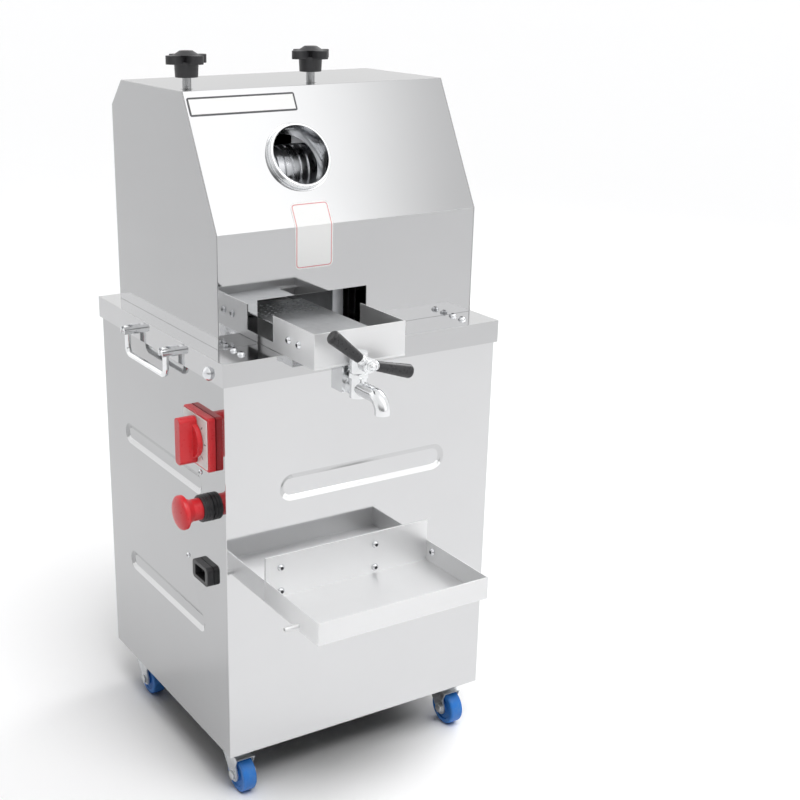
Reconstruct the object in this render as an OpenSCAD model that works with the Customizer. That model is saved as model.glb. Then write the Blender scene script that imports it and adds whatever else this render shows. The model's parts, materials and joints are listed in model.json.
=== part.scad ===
// Electric sugarcane juicer on casters: sheet steel cabinet, sloped hood, three roller mill,
// juice drawer with a tap, drip tray. Millimetres, +Z up, front towards -Y,
// origin on the floor under the middle of the cabinet.

/* [Cabinet] */
// Width of the cabinet across the front
cabinet_w = 400; // [380:1:440]
// Depth of the cabinet
cabinet_d = 376; // [360:1:420]
// Height of the cabinet's panels with the top cover
cabinet_h = 540; // [500:1:600]
// Thickness of the steel sheet
sheet_t = 1.5; // [1:0.1:2]
// Leg of the corner posts
post_leg = 25; // [20:1:30]
// Wall of the corner posts
post_t = 3; // [2:0.5:4]
// Thickness of the bottom plate
bottom_t = 2; // [1.5:0.5:4]
// How far the top cover's skirt stands out from the panels
skirt_out = 3.5; // [2.5:0.5:6]
// Height of the top cover's skirt
skirt_h = 29; // [26:1:36]
// Length of the pressed bead on the front panel
front_bead_l = 250; // [200:1:300]
// Height of the pressed bead on the front panel
front_bead_h = 36; // [30:1:44]
// Length of the pressed beads on the side panels
side_bead_l = 242; // [200:1:280]
// Height of the pressed beads on the side panels
bead_h = 29; // [20:1:36]
// Width of a bead's sloped wall
bead_w = 7; // [4:0.5:9]
// How deep a bead is pressed into the sheet
bead_in = 3; // [0.8:0.1:4]
// Drop of the upper side beads below the ledge
bead_high_z = 179; // [165:1:200]
// Drop of the front bead below the ledge
front_bead_z = 175; // [165:1:200]
// Drop of the lower beads below the ledge
bead_low_z = 375; // [340:1:400]

/* [Hood] */
// Ledge left of the hood
hood_left_gap = 20; // [14:1:30]
// Ledge right of the hood
hood_right_gap = 0; // [0:1:10]
// Ledge in front of the hood
hood_front_gap = 54; // [46:1:60]
// Ledge behind the hood
hood_rear_gap = 19; // [10:1:30]
// Height of the hood above the cabinet
hood_h = 299; // [290:1:320]
// Height of the hood's upright front
hood_front_h = 140; // [125:1:150]
// How far the sloped face leans back
slope_run = 85; // [75:1:92]
// Size of the rear bend
rear_bend = 34; // [20:1:45]

/* [Feed tube] */
// Middle of the feed tube from the hood's left side
feed_x = 136; // [120:1:150]
// Place of the feed tube up the slope
feed_along = 88; // [75:1:100]
// Bore radius of the feed tube
feed_bore_r = 38; // [32:0.5:42]
// Wall of the feed tube
feed_wall = 3; // [2:0.5:4]
// How far the feed tube stands proud of the slope
feed_proud = 9; // [3:0.5:12]
// Length of the feed tube inside the hood
feed_inner_l = 22; // [15:1:26]

/* [Mill] */
// Middle of the left mill plate from the hood's left side
mill_left_x = 20; // [18:0.5:24]
// Middle of the right mill plate from the hood's left side
mill_right_x = 194; // [192:0.5:200]
// Thickness of the mill plates
mill_plate_t = 16; // [14:0.5:18]
// Place of the mill behind the hood's front
mill_y = 111; // [104:1:119]
// Height of the lower rollers above the top cover
lower_roller_h = 135; // [128:1:142]
// Half the distance between the lower rollers
roller_half_span = 42; // [41:0.5:44]
// Radius of the rollers
roller_r = 33; // [30:0.5:34]
// Radius of the roller shafts
shaft_r = 12; // [10:0.5:13]
// Number of teeth of the roller gears
gear_teeth = 20;
// Module of the roller gears
gear_module = 3.5;
// Width of the roller gears
gear_w = 20; // [16:0.5:22]
// Radius of the bearing bushes
bush_r = 17; // [16:0.5:20]
// Width of the upper bearing blocks
block_w = 38; // [36:0.5:44]
// Height of the upper bearing blocks
block_h = 40; // [36:0.5:44]
// Radius of the tie bars
tie_r = 7; // [5:0.5:9]

/* [Pressure screws] */
// Radius of the pressure screws
screw_r = 5.5; // [4:0.25:6]
// Height of the knob's hub above the hood
knob_lift = 14; // [10:1:24]
// Radius of the knob's hub
knob_hub_r = 15; // [12:0.5:18]
// Height of the knob's hub
knob_hub_h = 18; // [14:0.5:24]
// Reach of the knob's arms
knob_reach = 29; // [25:0.5:34]
// Radius of the knob's arm ends
knob_arm_r = 8; // [6:0.5:9]
// Thickness of the knob's arms
knob_arm_h = 10; // [8:0.5:14]

/* [Chain drive] */
// Teeth of the sprocket on the upper roller
driven_teeth = 24;
// Teeth of the sprocket on the gearbox
drive_teeth = 12;
// Pitch of the chain
chain_pitch = 12.7;
// Width of the sprocket teeth
sprocket_w = 7; // [6:0.25:8]
// Radius of the gearbox shaft
drive_shaft_r = 10; // [8:0.5:12]
// Height of the gearbox shaft above the bottom plate
drive_h = 66; // [62:1:80]
// Width of the gearbox
gearbox_w = 66; // [56:1:76]
// Depth of the gearbox
gearbox_d = 110; // [96:1:124]
// Radius of the motor
motor_r = 58; // [50:1:60]
// Length of the motor
motor_l = 130; // [110:1:136]

/* [Juice drawer] */
// Left side of the drawer from the hood's left side
drawer_left_x = 58; // [54:0.5:64]
// Right side of the drawer from the hood's left side
drawer_right_x = 184; // [176:0.5:184]
// How far the drawer's front stands out of the cabinet
drawer_out = 77; // [70:1:90]
// Height of the drawer
drawer_h = 43; // [38:1:48]
// Length of the drawer
drawer_l = 315; // [280:1:330]
// Length of the drawer's full height front part
drawer_front_l = 98; // [85:1:110]
// Height of the drawer's low rear walls
drawer_rear_h = 10; // [8:0.5:14]
// Height of the strainer above the drawer's floor
strainer_h = 30; // [24:0.5:34]
// Width of the strainer
strainer_w = 92; // [80:1:98]
// Room above the drawer in the hood's mouth
mouth_top_gap = 12; // [8:1:16]
// Room right of the drawer in the hood's mouth
mouth_right_gap = 29; // [20:1:34]

/* [Tap] */
// Middle of the tap from the hood's left side
tap_x = 110; // [104:1:124]
// Half the width of the sump under the drawer
sump_r = 12; // [11:0.5:18]
// Depth of the sump
sump_h = 34; // [32:0.5:42]
// Radius of the tap's pipe
tap_pipe_r = 9; // [8:0.25:10]
// Radius of the tap's bore
tap_bore_r = 6; // [5:0.25:6.5]
// Radius of the valve barrel
valve_r = 10.5; // [10:0.25:12]
// Radius of the spout's bend
spout_bend_r = 17; // [15:0.5:24]
// Tilt of the tap's handle as it stands
handle_tilt = 28; // [20:1:30]
// Rise of each arm of the tap's handle
arm_rise = 12; // [0:1:15]
// Height of the tap's spindle above the drawer's floor
spindle_h = 8; // [6:0.5:16]
// Reach of the tap's grips
grip_reach = 64; // [54:1:66]
// Length of the tap's grips
grip_l = 50; // [38:1:51]
// Radius of a grip at its end
grip_end_r = 8.5; // [7.5:0.25:9]

/* [Drip tray] */
// Left side of the drip tray from the cabinet's left side
tray_left_x = 52; // [40:1:60]
// Width of the drip tray
tray_w = 252; // [235:1:270]
// Depth of the drip tray
tray_d = 134; // [120:1:150]
// Height of the drip tray's walls
tray_h = 30; // [24:1:36]
// Drop of the drip tray's floor below the ledge
tray_z = 324; // [316:1:332]
// Height of the flange that holds the tray
tray_flange_h = 60; // [54:1:66]
// Distance between the tray's bolts
tray_bolt_gap = 143; // [120:1:160]

/* [Switchgear] */
// Width and height of the main switch
switch_w = 70; // [62:1:74]
// Thickness of the main switch's frame
switch_t = 10; // [8:0.5:14]
// Middle of the main switch from the cabinet's front
switch_y = 59; // [50:1:66]
// Drop of the main switch's middle below the ledge
switch_z = 110; // [100:1:116]
// Length of the switch handle
switch_grip_l = 60; // [50:1:64]
// Middle of the stop button from the cabinet's front
stop_y = 49; // [42:1:60]
// Drop of the stop button's middle below the ledge
stop_z = 200; // [198:1:212]
// Radius of the stop button's head
stop_head_r = 22; // [18:0.5:23]
// Radius of the stop button's neck
stop_neck_r = 14; // [12:0.5:14.5]
// Travel of the stop button
stop_travel = 4; // [3:0.5:5]
// Middle of the power inlet from the cabinet's front
inlet_y = 60; // [50:1:75]
// Drop of the power inlet's middle below the ledge
inlet_z = 294; // [282:1:310]

/* [Carrying handles] */
// Distance between the legs of a handle
handle_span = 120; // [100:1:140]
// Drop of a handle below its pivot
handle_drop = 32; // [28:1:40]
// Radius of a handle's rod
handle_rod_r = 4; // [3.5:0.25:4.5]
// Reach of the pivot from the skirt
handle_reach = 11; // [10.5:0.5:16]

/* [Casters] */
// Height of a caster
caster_h = 70; // [66:1:80]
// Radius of a caster wheel
wheel_r = 25; // [22:0.5:27]
// Width of a caster wheel
wheel_w = 20; // [16:0.5:24]
// Trail of a caster wheel
trail = 18; // [14:0.5:22]
// Distance of a caster's swivel from the cabinet's sides
caster_inset_x = 30; // [27:1:40]
// Distance of a caster's swivel from the cabinet's front and back
caster_inset_y = 43; // [34:1:55]
// Width of a caster's plate
caster_plate_w = 52; // [46:1:54]

/* [Hidden] */
$fn = 64;

// Fits: running fit of a shaft, easy fit of a fixed piece, gap between pieces that pass each other, weld seam
run_fit = 0.05;
seat_fit = 0.1;
pass_gap = 0.3;
weld_gap = 0.05;
eps = 0.01;

// Cabinet
half_w = cabinet_w / 2;
half_d = cabinet_d / 2;
base_z = caster_h;
ledge_z = caster_h + cabinet_h;
cover_under_z = ledge_z - sheet_t;
panel_h = cabinet_h - sheet_t;
front_y = -half_d;
skirt_x = half_w + skirt_out;
skirt_y = half_d + skirt_out;
inner_z = base_z + bottom_t;

// Hood profile, from the front foot round to the rear foot
hood_x0 = -half_w + hood_left_gap;
hood_x1 = half_w - hood_right_gap;
hood_y0 = front_y + hood_front_gap;
hood_y1 = half_d - hood_rear_gap;
hood_top_z = ledge_z + hood_h;
bend_z = ledge_z + hood_front_h;
slope_y = hood_y0 + slope_run;
slope_a = atan(slope_run / (hood_h - hood_front_h));
top_turn = 90 - slope_a;
hood_outer = [[hood_y0, ledge_z], [hood_y0, bend_z], [slope_y, hood_top_z], [hood_y1 - rear_bend, hood_top_z],
  [hood_y1, hood_top_z - rear_bend], [hood_y1, ledge_z]];
hood_inner = [[hood_y0 + sheet_t, ledge_z - 1], [hood_y0 + sheet_t, bend_z - sheet_t * tan(slope_a / 2)],
  [slope_y + sheet_t * tan(top_turn / 2), hood_top_z - sheet_t],
  [hood_y1 - rear_bend - sheet_t * tan(22.5), hood_top_z - sheet_t],
  [hood_y1 - sheet_t, hood_top_z - rear_bend - sheet_t * tan(22.5)], [hood_y1 - sheet_t, ledge_z - 1]];

// Feed tube: its middle lies on the slope
feed_cx = hood_x0 + feed_x;
feed_cy = hood_y0 + feed_along * sin(slope_a);
feed_cz = bend_z + feed_along * cos(slope_a);
feed_r = feed_bore_r + feed_wall;

// Mill: the upper gear meshes with both lower gears
mill_left_cx = hood_x0 + mill_left_x;
mill_right_cx = hood_x0 + mill_right_x;
mill_cy = hood_y0 + mill_y;
gear_pitch_r = gear_module * gear_teeth / 2;
centre_dist = 2 * gear_pitch_r;
lower_z = ledge_z + lower_roller_h;
upper_z = lower_z + sqrt(centre_dist * centre_dist - roller_half_span * roller_half_span);
front_roller_y = mill_cy - roller_half_span;
rear_roller_y = mill_cy + roller_half_span;
mill_left_in = mill_left_cx + mill_plate_t / 2;
mill_right_in = mill_right_cx - mill_plate_t / 2;
mill_right_out = mill_right_cx + mill_plate_t / 2;
barrel_gap = 2;
barrel_x0 = mill_left_in + barrel_gap;
barrel_x1 = mill_right_in - barrel_gap;
shaft_x0 = mill_left_cx - mill_plate_t / 2 - 2;
gear_x0 = mill_right_out + 2;
gear_x1 = gear_x0 + gear_w;
shaft_end = 0.4;
mill_half_d = roller_half_span + bush_r + 14;
mill_neck = block_w / 2 + 16;
mill_top_z = upper_z + block_h / 2 + 30;
slot_top_z = upper_z + block_h / 2 + 6;
tie_low_z = lower_z - roller_r - tie_r - 22;
tie_places = [[mill_cy - mill_half_d + tie_r + 5, tie_low_z], [mill_cy + mill_half_d - tie_r - 5, tie_low_z]];

// Gear teeth: where the line of centres meets each gear
tooth_a = 360 / gear_teeth;
front_line_a = atan2(lower_z - upper_z, front_roller_y - mill_cy);
rear_line_a = atan2(lower_z - upper_z, rear_roller_y - mill_cy);
function mesh_turn(line_a) = 2 * line_a + 180 - tooth_a / 2;

// Chain drive
sprocket_gap = 4;
sprocket_x = gear_x1 + sprocket_gap;
chain_x = sprocket_x + sprocket_w / 2;
drive_z = inner_z + drive_h;
gearbox_boss = 12;
shaft_seat = 36;
gearbox_x1 = sprocket_x - gearbox_boss;
gearbox_x0 = gearbox_x1 - gearbox_w;
function pitch_r(teeth) = chain_pitch / (2 * sin(180 / teeth));
driven_r = pitch_r(driven_teeth);
drive_r = pitch_r(drive_teeth);
chain_half = 5;
chain_plate_t = 2.5;
chain_l = upper_z - drive_z;
chain_lean = asin((driven_r - drive_r) / chain_l);
chain_slot = driven_r + chain_half + 8;
chain_room = sprocket_w / 2 + 0.4 + chain_plate_t + 4;

// Drawer
drawer_gap = 0.3;
drawer_x0 = hood_x0 + drawer_left_x;
drawer_x1 = hood_x0 + drawer_right_x;
drawer_z = ledge_z + drawer_gap;
drawer_y0 = front_y - drawer_out;
drawer_y1 = drawer_y0 + drawer_l;
drawer_top_z = drawer_z + drawer_h;
drawer_step_y = drawer_y0 + drawer_front_l;
strainer_z = drawer_z + sheet_t + strainer_h;
support_w = 6;
mouth_x0 = drawer_x0 - 3;
mouth_x1 = drawer_x1 + mouth_right_gap;
mouth_z = drawer_top_z + mouth_top_gap;

// Tap
tap_cx = hood_x0 + tap_x;
sump_y = drawer_y0 + sump_r + 3;
pipe_z = drawer_z - sump_h + tap_pipe_r + 1;
valve_y = drawer_y0 - valve_r - 3;
spindle_z = drawer_z + spindle_h;
boss_y = valve_y - valve_r - 1;
hub_r = 9;
hub_w = 13;
bar_r = 4;
grip_cap = 6;
hub_y = boss_y - pass_gap - hub_w / 2;
spout_y = valve_y - valve_r - 24;
spout_tip = 2;

// Drip tray
tray_floor_z = ledge_z - tray_z;
tray_x0 = -half_w + tray_left_x;
tray_bolt_shift = 31;
tray_y0 = front_y - tray_d;
tray_x1 = tray_x0 + tray_w;
tray_mid_x = tray_x0 + tray_w / 2 - tray_bolt_shift;
tray_bolt_x = [tray_mid_x - tray_bolt_gap / 2, tray_mid_x + tray_bolt_gap / 2];
tray_bolt_z = [tray_floor_z + 10, tray_floor_z + tray_flange_h - 17];

// Fasteners: shank radius, head radius and head height
bolt_small = [2, 3.6, 2.4];
bolt_mid = [2.5, 5, 4];
bolt_dome = [4, 9, 7.5];
ledge_bolt_y = [hood_y0 - 30, hood_y0 - 10];
ledge_bolt_x = half_w - 36;
dome_y = half_d - 33;
dome_z = ledge_z - 20;
switch_screw_drop = 50;
inlet_screw_back = 52;
screw_places = [[front_y + switch_y + 10, ledge_z - switch_z - switch_screw_drop],
  [front_y + inlet_y + inlet_screw_back, ledge_z - inlet_z + 2]];

// Switchgear
switch_cy = front_y + switch_y;
switch_cz = ledge_z - switch_z;
stop_cy = front_y + stop_y;
stop_cz = ledge_z - stop_z;
inlet_cy = front_y + inlet_y;
inlet_cz = ledge_z - inlet_z;
switch_hole_r = 24;
switch_back_l = 40;
stop_hole_r = 11;
plate_t = 1.4;
inlet_w = 44;
inlet_h = 26;
inlet_out = 9;
inlet_back_w = 36;
inlet_back_h = 20;

// Carrying handles
pivot_x = skirt_x + handle_reach;
pivot_z = ledge_z - 17;
handle_mid_y = 5;
lug_r = 7;
lug_pin_r = 2;
eye_r = 5.5;
eye_half = handle_rod_r + 0.5;
eye_gap = 0.2;
lug_slot = 2 * (eye_half + eye_gap);

// Casters
swivel_x = half_w - caster_inset_x;
swivel_y = half_d - caster_inset_y;
caster_plate_t = 3;
race_r = 15;
race_h = 5;
fork_top_z = caster_h - caster_plate_t - race_h - pass_gap;
fork_t = 2.5;
fork_in = wheel_w / 2 + 1;
axle_r = 4;

// Shared shapes

// A rod along X from x0 to x1 at y, z
module rod_x(r, x0, x1, y, z) {
  translate([x0, y, z])
    rotate([0, 90, 0])
      cylinder(r = r, h = x1 - x0);
}

// A rod along Y from y0 to y1 at x, z
module rod_y(r, y0, y1, x, z) {
  translate([x, y1, z])
    rotate([90, 0, 0])
      cylinder(r = r, h = y1 - y0);
}

// A box between two corners
module box(a, b) {
  translate(a)
    cube(b - a);
}

// Flat stadium of length l and height h
module stadium(l, h) {
  square([l - h, h], center = true);
  for (s = [-1, 1])
    translate([s * (l - h) / 2, 0])
      circle(d = h);
}

// Section of a bead's sloped wall, at the distance r from the bead's middle line
module bead_section(r) {
  polygon([[r, 0], [r, -sheet_t], [r - bead_w, -bead_in - sheet_t], [r - bead_w, -bead_in]]);
}

// Bead pressed down from z = 0: two straight walls, two round ends and a flat floor
module bead(l, h) {
  run = l - h;
  for (s = [0, 180])
    rotate(s) {
      translate([-run / 2, 0, 0])
        rotate([90, 0, 90])
          linear_extrude(run) bead_section(h / 2);
      translate([run / 2, 0, 0])
        rotate(-90)
          rotate_extrude(angle = 180) bead_section(h / 2);
    }
  translate([0, 0, -bead_in - sheet_t])
    linear_extrude(sheet_t) stadium(l - 2 * bead_w, h - 2 * bead_w);
}

// Cut in a sheet where a bead goes
module bead_cut(l, h) {
  translate([0, 0, -sheet_t - 1])
    linear_extrude(sheet_t + 2) stadium(l, h);
}

// Round headed bolt along +Z: the head stands on z = 0, the shank goes down
module bolt(size, grip) {
  rotate_extrude()
    polygon(concat([[0, -grip], [size[0], -grip], [size[0], 0]],
      [for (a = [0:15:90]) [size[1] * cos(a), size[2] * sin(a)]]));
}

// Hole for a bolt's shank
module bolt_hole(size, grip) {
  translate([0, 0, -grip - 1])
    cylinder(r = size[0] + seat_fit, h = grip + 2);
}

// Turns a shape so that its +Z faces -X, +X or -Y
module facing_left() rotate([0, -90, 0]) children();
module facing_right() rotate([0, 90, 0]) children();
module facing_front() rotate([90, 0, 0]) children();

// Places of the fasteners on the left side, the ledge and the tray
module at_screws() {
  for (p = screw_places)
    translate([-half_w, p[0], p[1]])
      facing_left() children();
}

module at_ledge_bolts() {
  for (s = [-1, 1], y = ledge_bolt_y)
    translate([s * ledge_bolt_x, y, ledge_z])
      children();
}

module at_domes() {
  for (s = [-1, 1])
    translate([s * skirt_x, -dome_y, dome_z])
      rotate([0, s * 90, 0]) children();
}

module at_tray_bolts() {
  for (x = tray_bolt_x, z = tray_bolt_z)
    translate([x, front_y - sheet_t, z])
      facing_front() children();
}

// Cabinet pieces

module bottom_plate() {
  color("gainsboro")
    box([-half_w + sheet_t, front_y + sheet_t, base_z], [half_w - sheet_t, half_d - sheet_t, inner_z]);
}

module corner_posts() {
  color("gray")
    for (sx = [-1, 1], sy = [-1, 1])
      translate([sx * (half_w - sheet_t), sy * (half_d - sheet_t), inner_z])
        linear_extrude(cover_under_z - inner_z) {
          translate([min(0, -sx * post_leg), min(0, -sy * post_t)])
            square([post_leg, post_t]);
          translate([min(0, -sx * post_t), min(0, -sy * post_leg)])
            square([post_t, post_leg]);
        }
}

// Place of the bead on the front panel
module at_front_bead() {
  translate([0, front_y, ledge_z - front_bead_z])
    facing_front() children();
}

module front_panel() {
  color("silver") {
    difference() {
      box([-half_w, front_y, base_z], [half_w, front_y + sheet_t, cover_under_z]);
      at_front_bead() bead_cut(front_bead_l, front_bead_h);
      at_tray_bolts() bolt_hole(bolt_mid, 2 * sheet_t);
    }
    at_front_bead() bead(front_bead_l, front_bead_h);
  }
}

// Places of the beads on the left panel
module at_side_beads() {
  for (drop = [bead_low_z, bead_high_z])
    translate([-half_w, 0, ledge_z - drop])
      rotate([90, 0, -90]) children();
}

// Side panel with its two beads on the -X side
module side_sheet() {
  difference() {
    box([-half_w, front_y + sheet_t, base_z], [-half_w + sheet_t, half_d - sheet_t, cover_under_z]);
    at_side_beads() bead_cut(side_bead_l, bead_h);
  }
  at_side_beads() bead(side_bead_l, bead_h);
}

module left_panel() {
  color("silver")
    difference() {
      side_sheet();
      rod_x(switch_hole_r + seat_fit, -half_w - 5, -half_w + 5, switch_cy, switch_cz);
      rod_x(stop_hole_r + seat_fit, -half_w - 5, -half_w + 5, stop_cy, stop_cz);
      translate([-half_w, inlet_cy, inlet_cz])
        cube([10, inlet_back_w + 2 * seat_fit, inlet_back_h + 2 * seat_fit], center = true);
      at_screws() bolt_hole(bolt_small, sheet_t);
    }
}

module right_panel() {
  color("silver")
    mirror([1, 0, 0]) side_sheet();
}

module rear_panel() {
  vent_l = 160;
  vent_w = 6;
  vent_rows = 6;
  vent_step = 16;
  color("silver")
    difference() {
      box([-half_w, half_d - sheet_t, base_z], [half_w, half_d, cover_under_z]);
      for (i = [0:vent_rows - 1])
        translate([0, half_d + 1, base_z + 70 + i * vent_step])
          facing_front()
            linear_extrude(sheet_t + 2) stadium(vent_l, vent_w);
    }
}

module top_cover() {
  color("silver")
    difference() {
      box([-skirt_x, -skirt_y, ledge_z - skirt_h], [skirt_x, skirt_y, ledge_z]);
      box([-skirt_x + sheet_t, -skirt_y + sheet_t, ledge_z - skirt_h - 1],
        [skirt_x - sheet_t, skirt_y - sheet_t, cover_under_z]);
      box([chain_x - chain_room, mill_cy - chain_slot, cover_under_z - 1],
        [chain_x + chain_room, mill_cy + chain_slot, ledge_z + 1]);
      at_ledge_bolts() bolt_hole(bolt_mid, sheet_t);
      at_domes() bolt_hole(bolt_dome, sheet_t);
    }
}

module gearbox() {
  foot_t = 8;
  foot_out = 14;
  color("dimgray")
    difference() {
      union() {
        box([gearbox_x0 - foot_out, mill_cy - gearbox_d / 2, inner_z],
          [gearbox_x1 + foot_out / 2, mill_cy + gearbox_d / 2, inner_z + foot_t]);
        box([gearbox_x0, mill_cy - gearbox_d / 2, inner_z + foot_t],
          [gearbox_x1, mill_cy + gearbox_d / 2, drive_z + gearbox_d / 2]);
        rod_x(drive_shaft_r + gearbox_boss, gearbox_x1 - 1, gearbox_x1 + gearbox_boss / 2, mill_cy, drive_z);
      }
      rod_x(drive_shaft_r + run_fit, gearbox_x1 - shaft_seat, gearbox_x1 + gearbox_boss, mill_cy, drive_z);
    }
}

// Ribbed motor on the gearbox's left face, with its terminal box
module drive_motor() {
  motor_x1 = gearbox_x0;
  motor_x0 = motor_x1 - motor_l;
  end_l = 18;
  fins = 24;
  fin_h = 5;
  fin_half = 1.2;
  fin_low = 1;
  terminal_w = 60;
  terminal_h = 24;
  color("slategray") {
    rod_x(motor_r - fin_h, motor_x0, motor_x1, mill_cy, drive_z);
    for (i = [0:fins - 1])
      translate([0, mill_cy, drive_z])
        rotate([i * 360 / fins, 0, 0])
          box([motor_x0 + end_l - fin_low, -fin_half, motor_r - 2 * fin_h],
            [motor_x1 - end_l + fin_low, fin_half, motor_r - fin_low]);
    rod_x(motor_r, motor_x0, motor_x0 + end_l, mill_cy, drive_z);
    rod_x(motor_r, motor_x1 - end_l, motor_x1, mill_cy, drive_z);
    box([(motor_x0 + motor_x1 - terminal_w) / 2, mill_cy - terminal_w / 2, drive_z + motor_r / 2],
      [(motor_x0 + motor_x1 + terminal_w) / 2, mill_cy + terminal_w / 2, drive_z + motor_r + terminal_h]);
  }
}

module power_inlet() {
  corner = 6;
  color("black")
    translate([-half_w, inlet_cy, inlet_cz])
      facing_left() {
        difference() {
          union() {
            linear_extrude(inlet_out)
              inlet_outline(inlet_w, inlet_h, corner);
            translate([-inlet_back_h / 2, -inlet_back_w / 2, -16])
              cube([inlet_back_h, inlet_back_w, 16 + eps]);
          }
          translate([0, 0, -12])
            linear_extrude(inlet_out + 13)
              inlet_outline(inlet_back_w - 8, inlet_back_h - 5, 2);
        }
        for (i = [-1, 0, 1])
          translate([i == 0 ? 2 : -2, i * 8, -12])
            linear_extrude(14)
              square([4, 2], center = true);
      }
}

// Flat outline with round corners: height along X, width along Y
module inlet_outline(w, h, r) {
  square([h - 2 * r, w], center = true);
  square([h, w - 2 * r], center = true);
  for (a = [-1, 1], b = [-1, 1])
    translate([a * (h / 2 - r), b * (w / 2 - r)])
      circle(r = r);
}

module switch_base() {
  corner = 4;
  color("firebrick")
    translate([-half_w, switch_cy, switch_cz])
      facing_left()
        difference() {
          union() {
            linear_extrude(switch_t)
              inlet_outline(switch_w, switch_w, corner);
            translate([0, 0, -switch_back_l])
              cylinder(r = switch_hole_r, h = switch_back_l + eps);
          }
          translate([0, 0, switch_t - 18])
            cylinder(r = 4 + run_fit, h = 20);
        }
}

module switch_faceplate() {
  border = 3;
  color("white")
    translate([-half_w - switch_t, switch_cy, switch_cz])
      facing_left()
        linear_extrude(plate_t)
          difference() {
            inlet_outline(switch_w - 2 * border, switch_w - 2 * border, 2);
            circle(r = 8);
          }
}

module switch_knob() {
  disc_r = 23;
  disc_t = 7;
  grip_t = 15;
  grip_out = 24;
  color("red")
    translate([-half_w - switch_t - plate_t - pass_gap, switch_cy, switch_cz])
      facing_left() {
        cylinder(r = disc_r, h = disc_t);
        linear_extrude(grip_out)
          inlet_outline(grip_t, switch_grip_l, 5);
        translate([0, 0, -plate_t - pass_gap - 14])
          cylinder(r = 4, h = 16);
      }
}

module estop_base() {
  ring_out = 13;
  ring_r = stop_neck_r + pass_gap + 2.5;
  color("black")
    translate([-half_w, stop_cy, stop_cz])
      facing_left()
        difference() {
          union() {
            cylinder(r = ring_r, h = ring_out);
            translate([0, 0, -30])
              cylinder(r = stop_hole_r, h = 30 + eps);
            translate([-15, -15, -52])
              cube([30, 30, 30]);
          }
          translate([0, 0, ring_out - 9])
            cylinder(r = stop_neck_r + pass_gap, h = 10);
        }
}

module estop_button() {
  neck_from = 4.6 + stop_travel;
  head_from = 33;
  head_t = 9;
  color("red")
    translate([-half_w, stop_cy, stop_cz])
      facing_left()
        rotate_extrude()
          polygon(concat([[0, neck_from], [stop_neck_r, neck_from], [stop_neck_r, head_from - 8],
            [stop_head_r - 4, head_from], [stop_head_r, head_from + 1], [stop_head_r, head_from + head_t - 3]],
            [for (a = [15:15:90]) [stop_head_r * cos(a), head_from + head_t - 3 + 6 * sin(a)]]));
}

// Drip tray: a folded sheet with its front wall, floor and flange, and an end plate welded on at each side
module drip_tray() {
  fold_x0 = tray_x0 + sheet_t + weld_gap;
  fold_x1 = tray_x1 - sheet_t - weld_gap;
  color("silver") {
    difference() {
      union() {
        box([fold_x0, tray_y0, tray_floor_z], [fold_x1, front_y, tray_floor_z + sheet_t]);
        box([fold_x0, tray_y0, tray_floor_z], [fold_x1, tray_y0 + sheet_t, tray_floor_z + tray_h]);
        box([fold_x0, front_y - sheet_t, tray_floor_z], [fold_x1, front_y, tray_floor_z + tray_flange_h]);
      }
      at_tray_bolts() bolt_hole(bolt_mid, 2 * sheet_t);
    }
    tray_end_plate(tray_x0, true);
    tray_end_plate(tray_x1 - sheet_t, false);
  }
}

// End plate of the drip tray from x on, with or without the drain nipple on its left side
module tray_end_plate(x, drain) {
  nipple_r = 3;
  nipple_l = 20;
  nipple_y = front_y - 0.65 * tray_d;
  nipple_z = tray_floor_z + sheet_t + nipple_r + 1;
  difference() {
    union() {
      box([x, tray_y0, tray_floor_z], [x + sheet_t, front_y, tray_floor_z + tray_h]);
      if (drain)
        rod_x(nipple_r, x - nipple_l, x + sheet_t, nipple_y, nipple_z);
    }
    if (drain)
      rod_x(nipple_r - 1, x - nipple_l - 1, x + sheet_t + 1, nipple_y, nipple_z);
  }
}

module cabinet_bolts() {
  color("silver") {
    at_tray_bolts() bolt(bolt_mid, 2 * sheet_t);
    at_ledge_bolts() bolt(bolt_mid, sheet_t);
    at_domes() bolt(bolt_dome, sheet_t);
    at_screws() bolt(bolt_small, sheet_t);
  }
}

// Carrying handles: two forked lugs a side, with the pin through each

module lug_pair() {
  for (s = [-1, 1])
    translate([-skirt_x, handle_mid_y + s * handle_span / 2, pivot_z]) {
      difference() {
        rod_x(lug_r, -handle_reach - lug_r, 0, 0, 0);
        box([-handle_reach - lug_r - 1, -lug_slot / 2, -lug_r - 1],
          [-handle_reach + eye_r + 1, lug_slot / 2, lug_r + 1]);
      }
      rod_y(lug_pin_r, -lug_r + 1, lug_r - 1, -handle_reach, 0);
    }
}

module handle_lugs() {
  color("silver") {
    lug_pair();
    mirror([1, 0, 0]) lug_pair();
  }
}

module bail() {
  bend_r = 2.5 * handle_rod_r;
  leg_y = handle_span / 2;
  translate([-pivot_x, handle_mid_y, pivot_z])
    difference() {
      union() {
        for (s = [-1, 1]) {
          rod_y(eye_r, s * leg_y - eye_half, s * leg_y + eye_half, 0, 0);
          translate([0, s * leg_y, -handle_drop + bend_r])
            cylinder(r = handle_rod_r, h = handle_drop - bend_r);
          translate([0, s * (leg_y - bend_r), -handle_drop + bend_r])
            rotate([90, 0, 90])
              rotate([0, 0, s > 0 ? 270 : 180])
                rotate_extrude(angle = 90)
                  translate([bend_r, 0]) circle(r = handle_rod_r);
        }
        rod_y(handle_rod_r, -leg_y + bend_r, leg_y - bend_r, 0, -handle_drop);
      }
      for (s = [-1, 1])
        rod_y(lug_pin_r + run_fit, s * leg_y - eye_r, s * leg_y + eye_r, 0, 0);
    }
}

module left_handle() {
  color("silver") bail();
}

module right_handle() {
  color("silver") mirror([1, 0, 0]) bail();
}

// Hood

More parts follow.
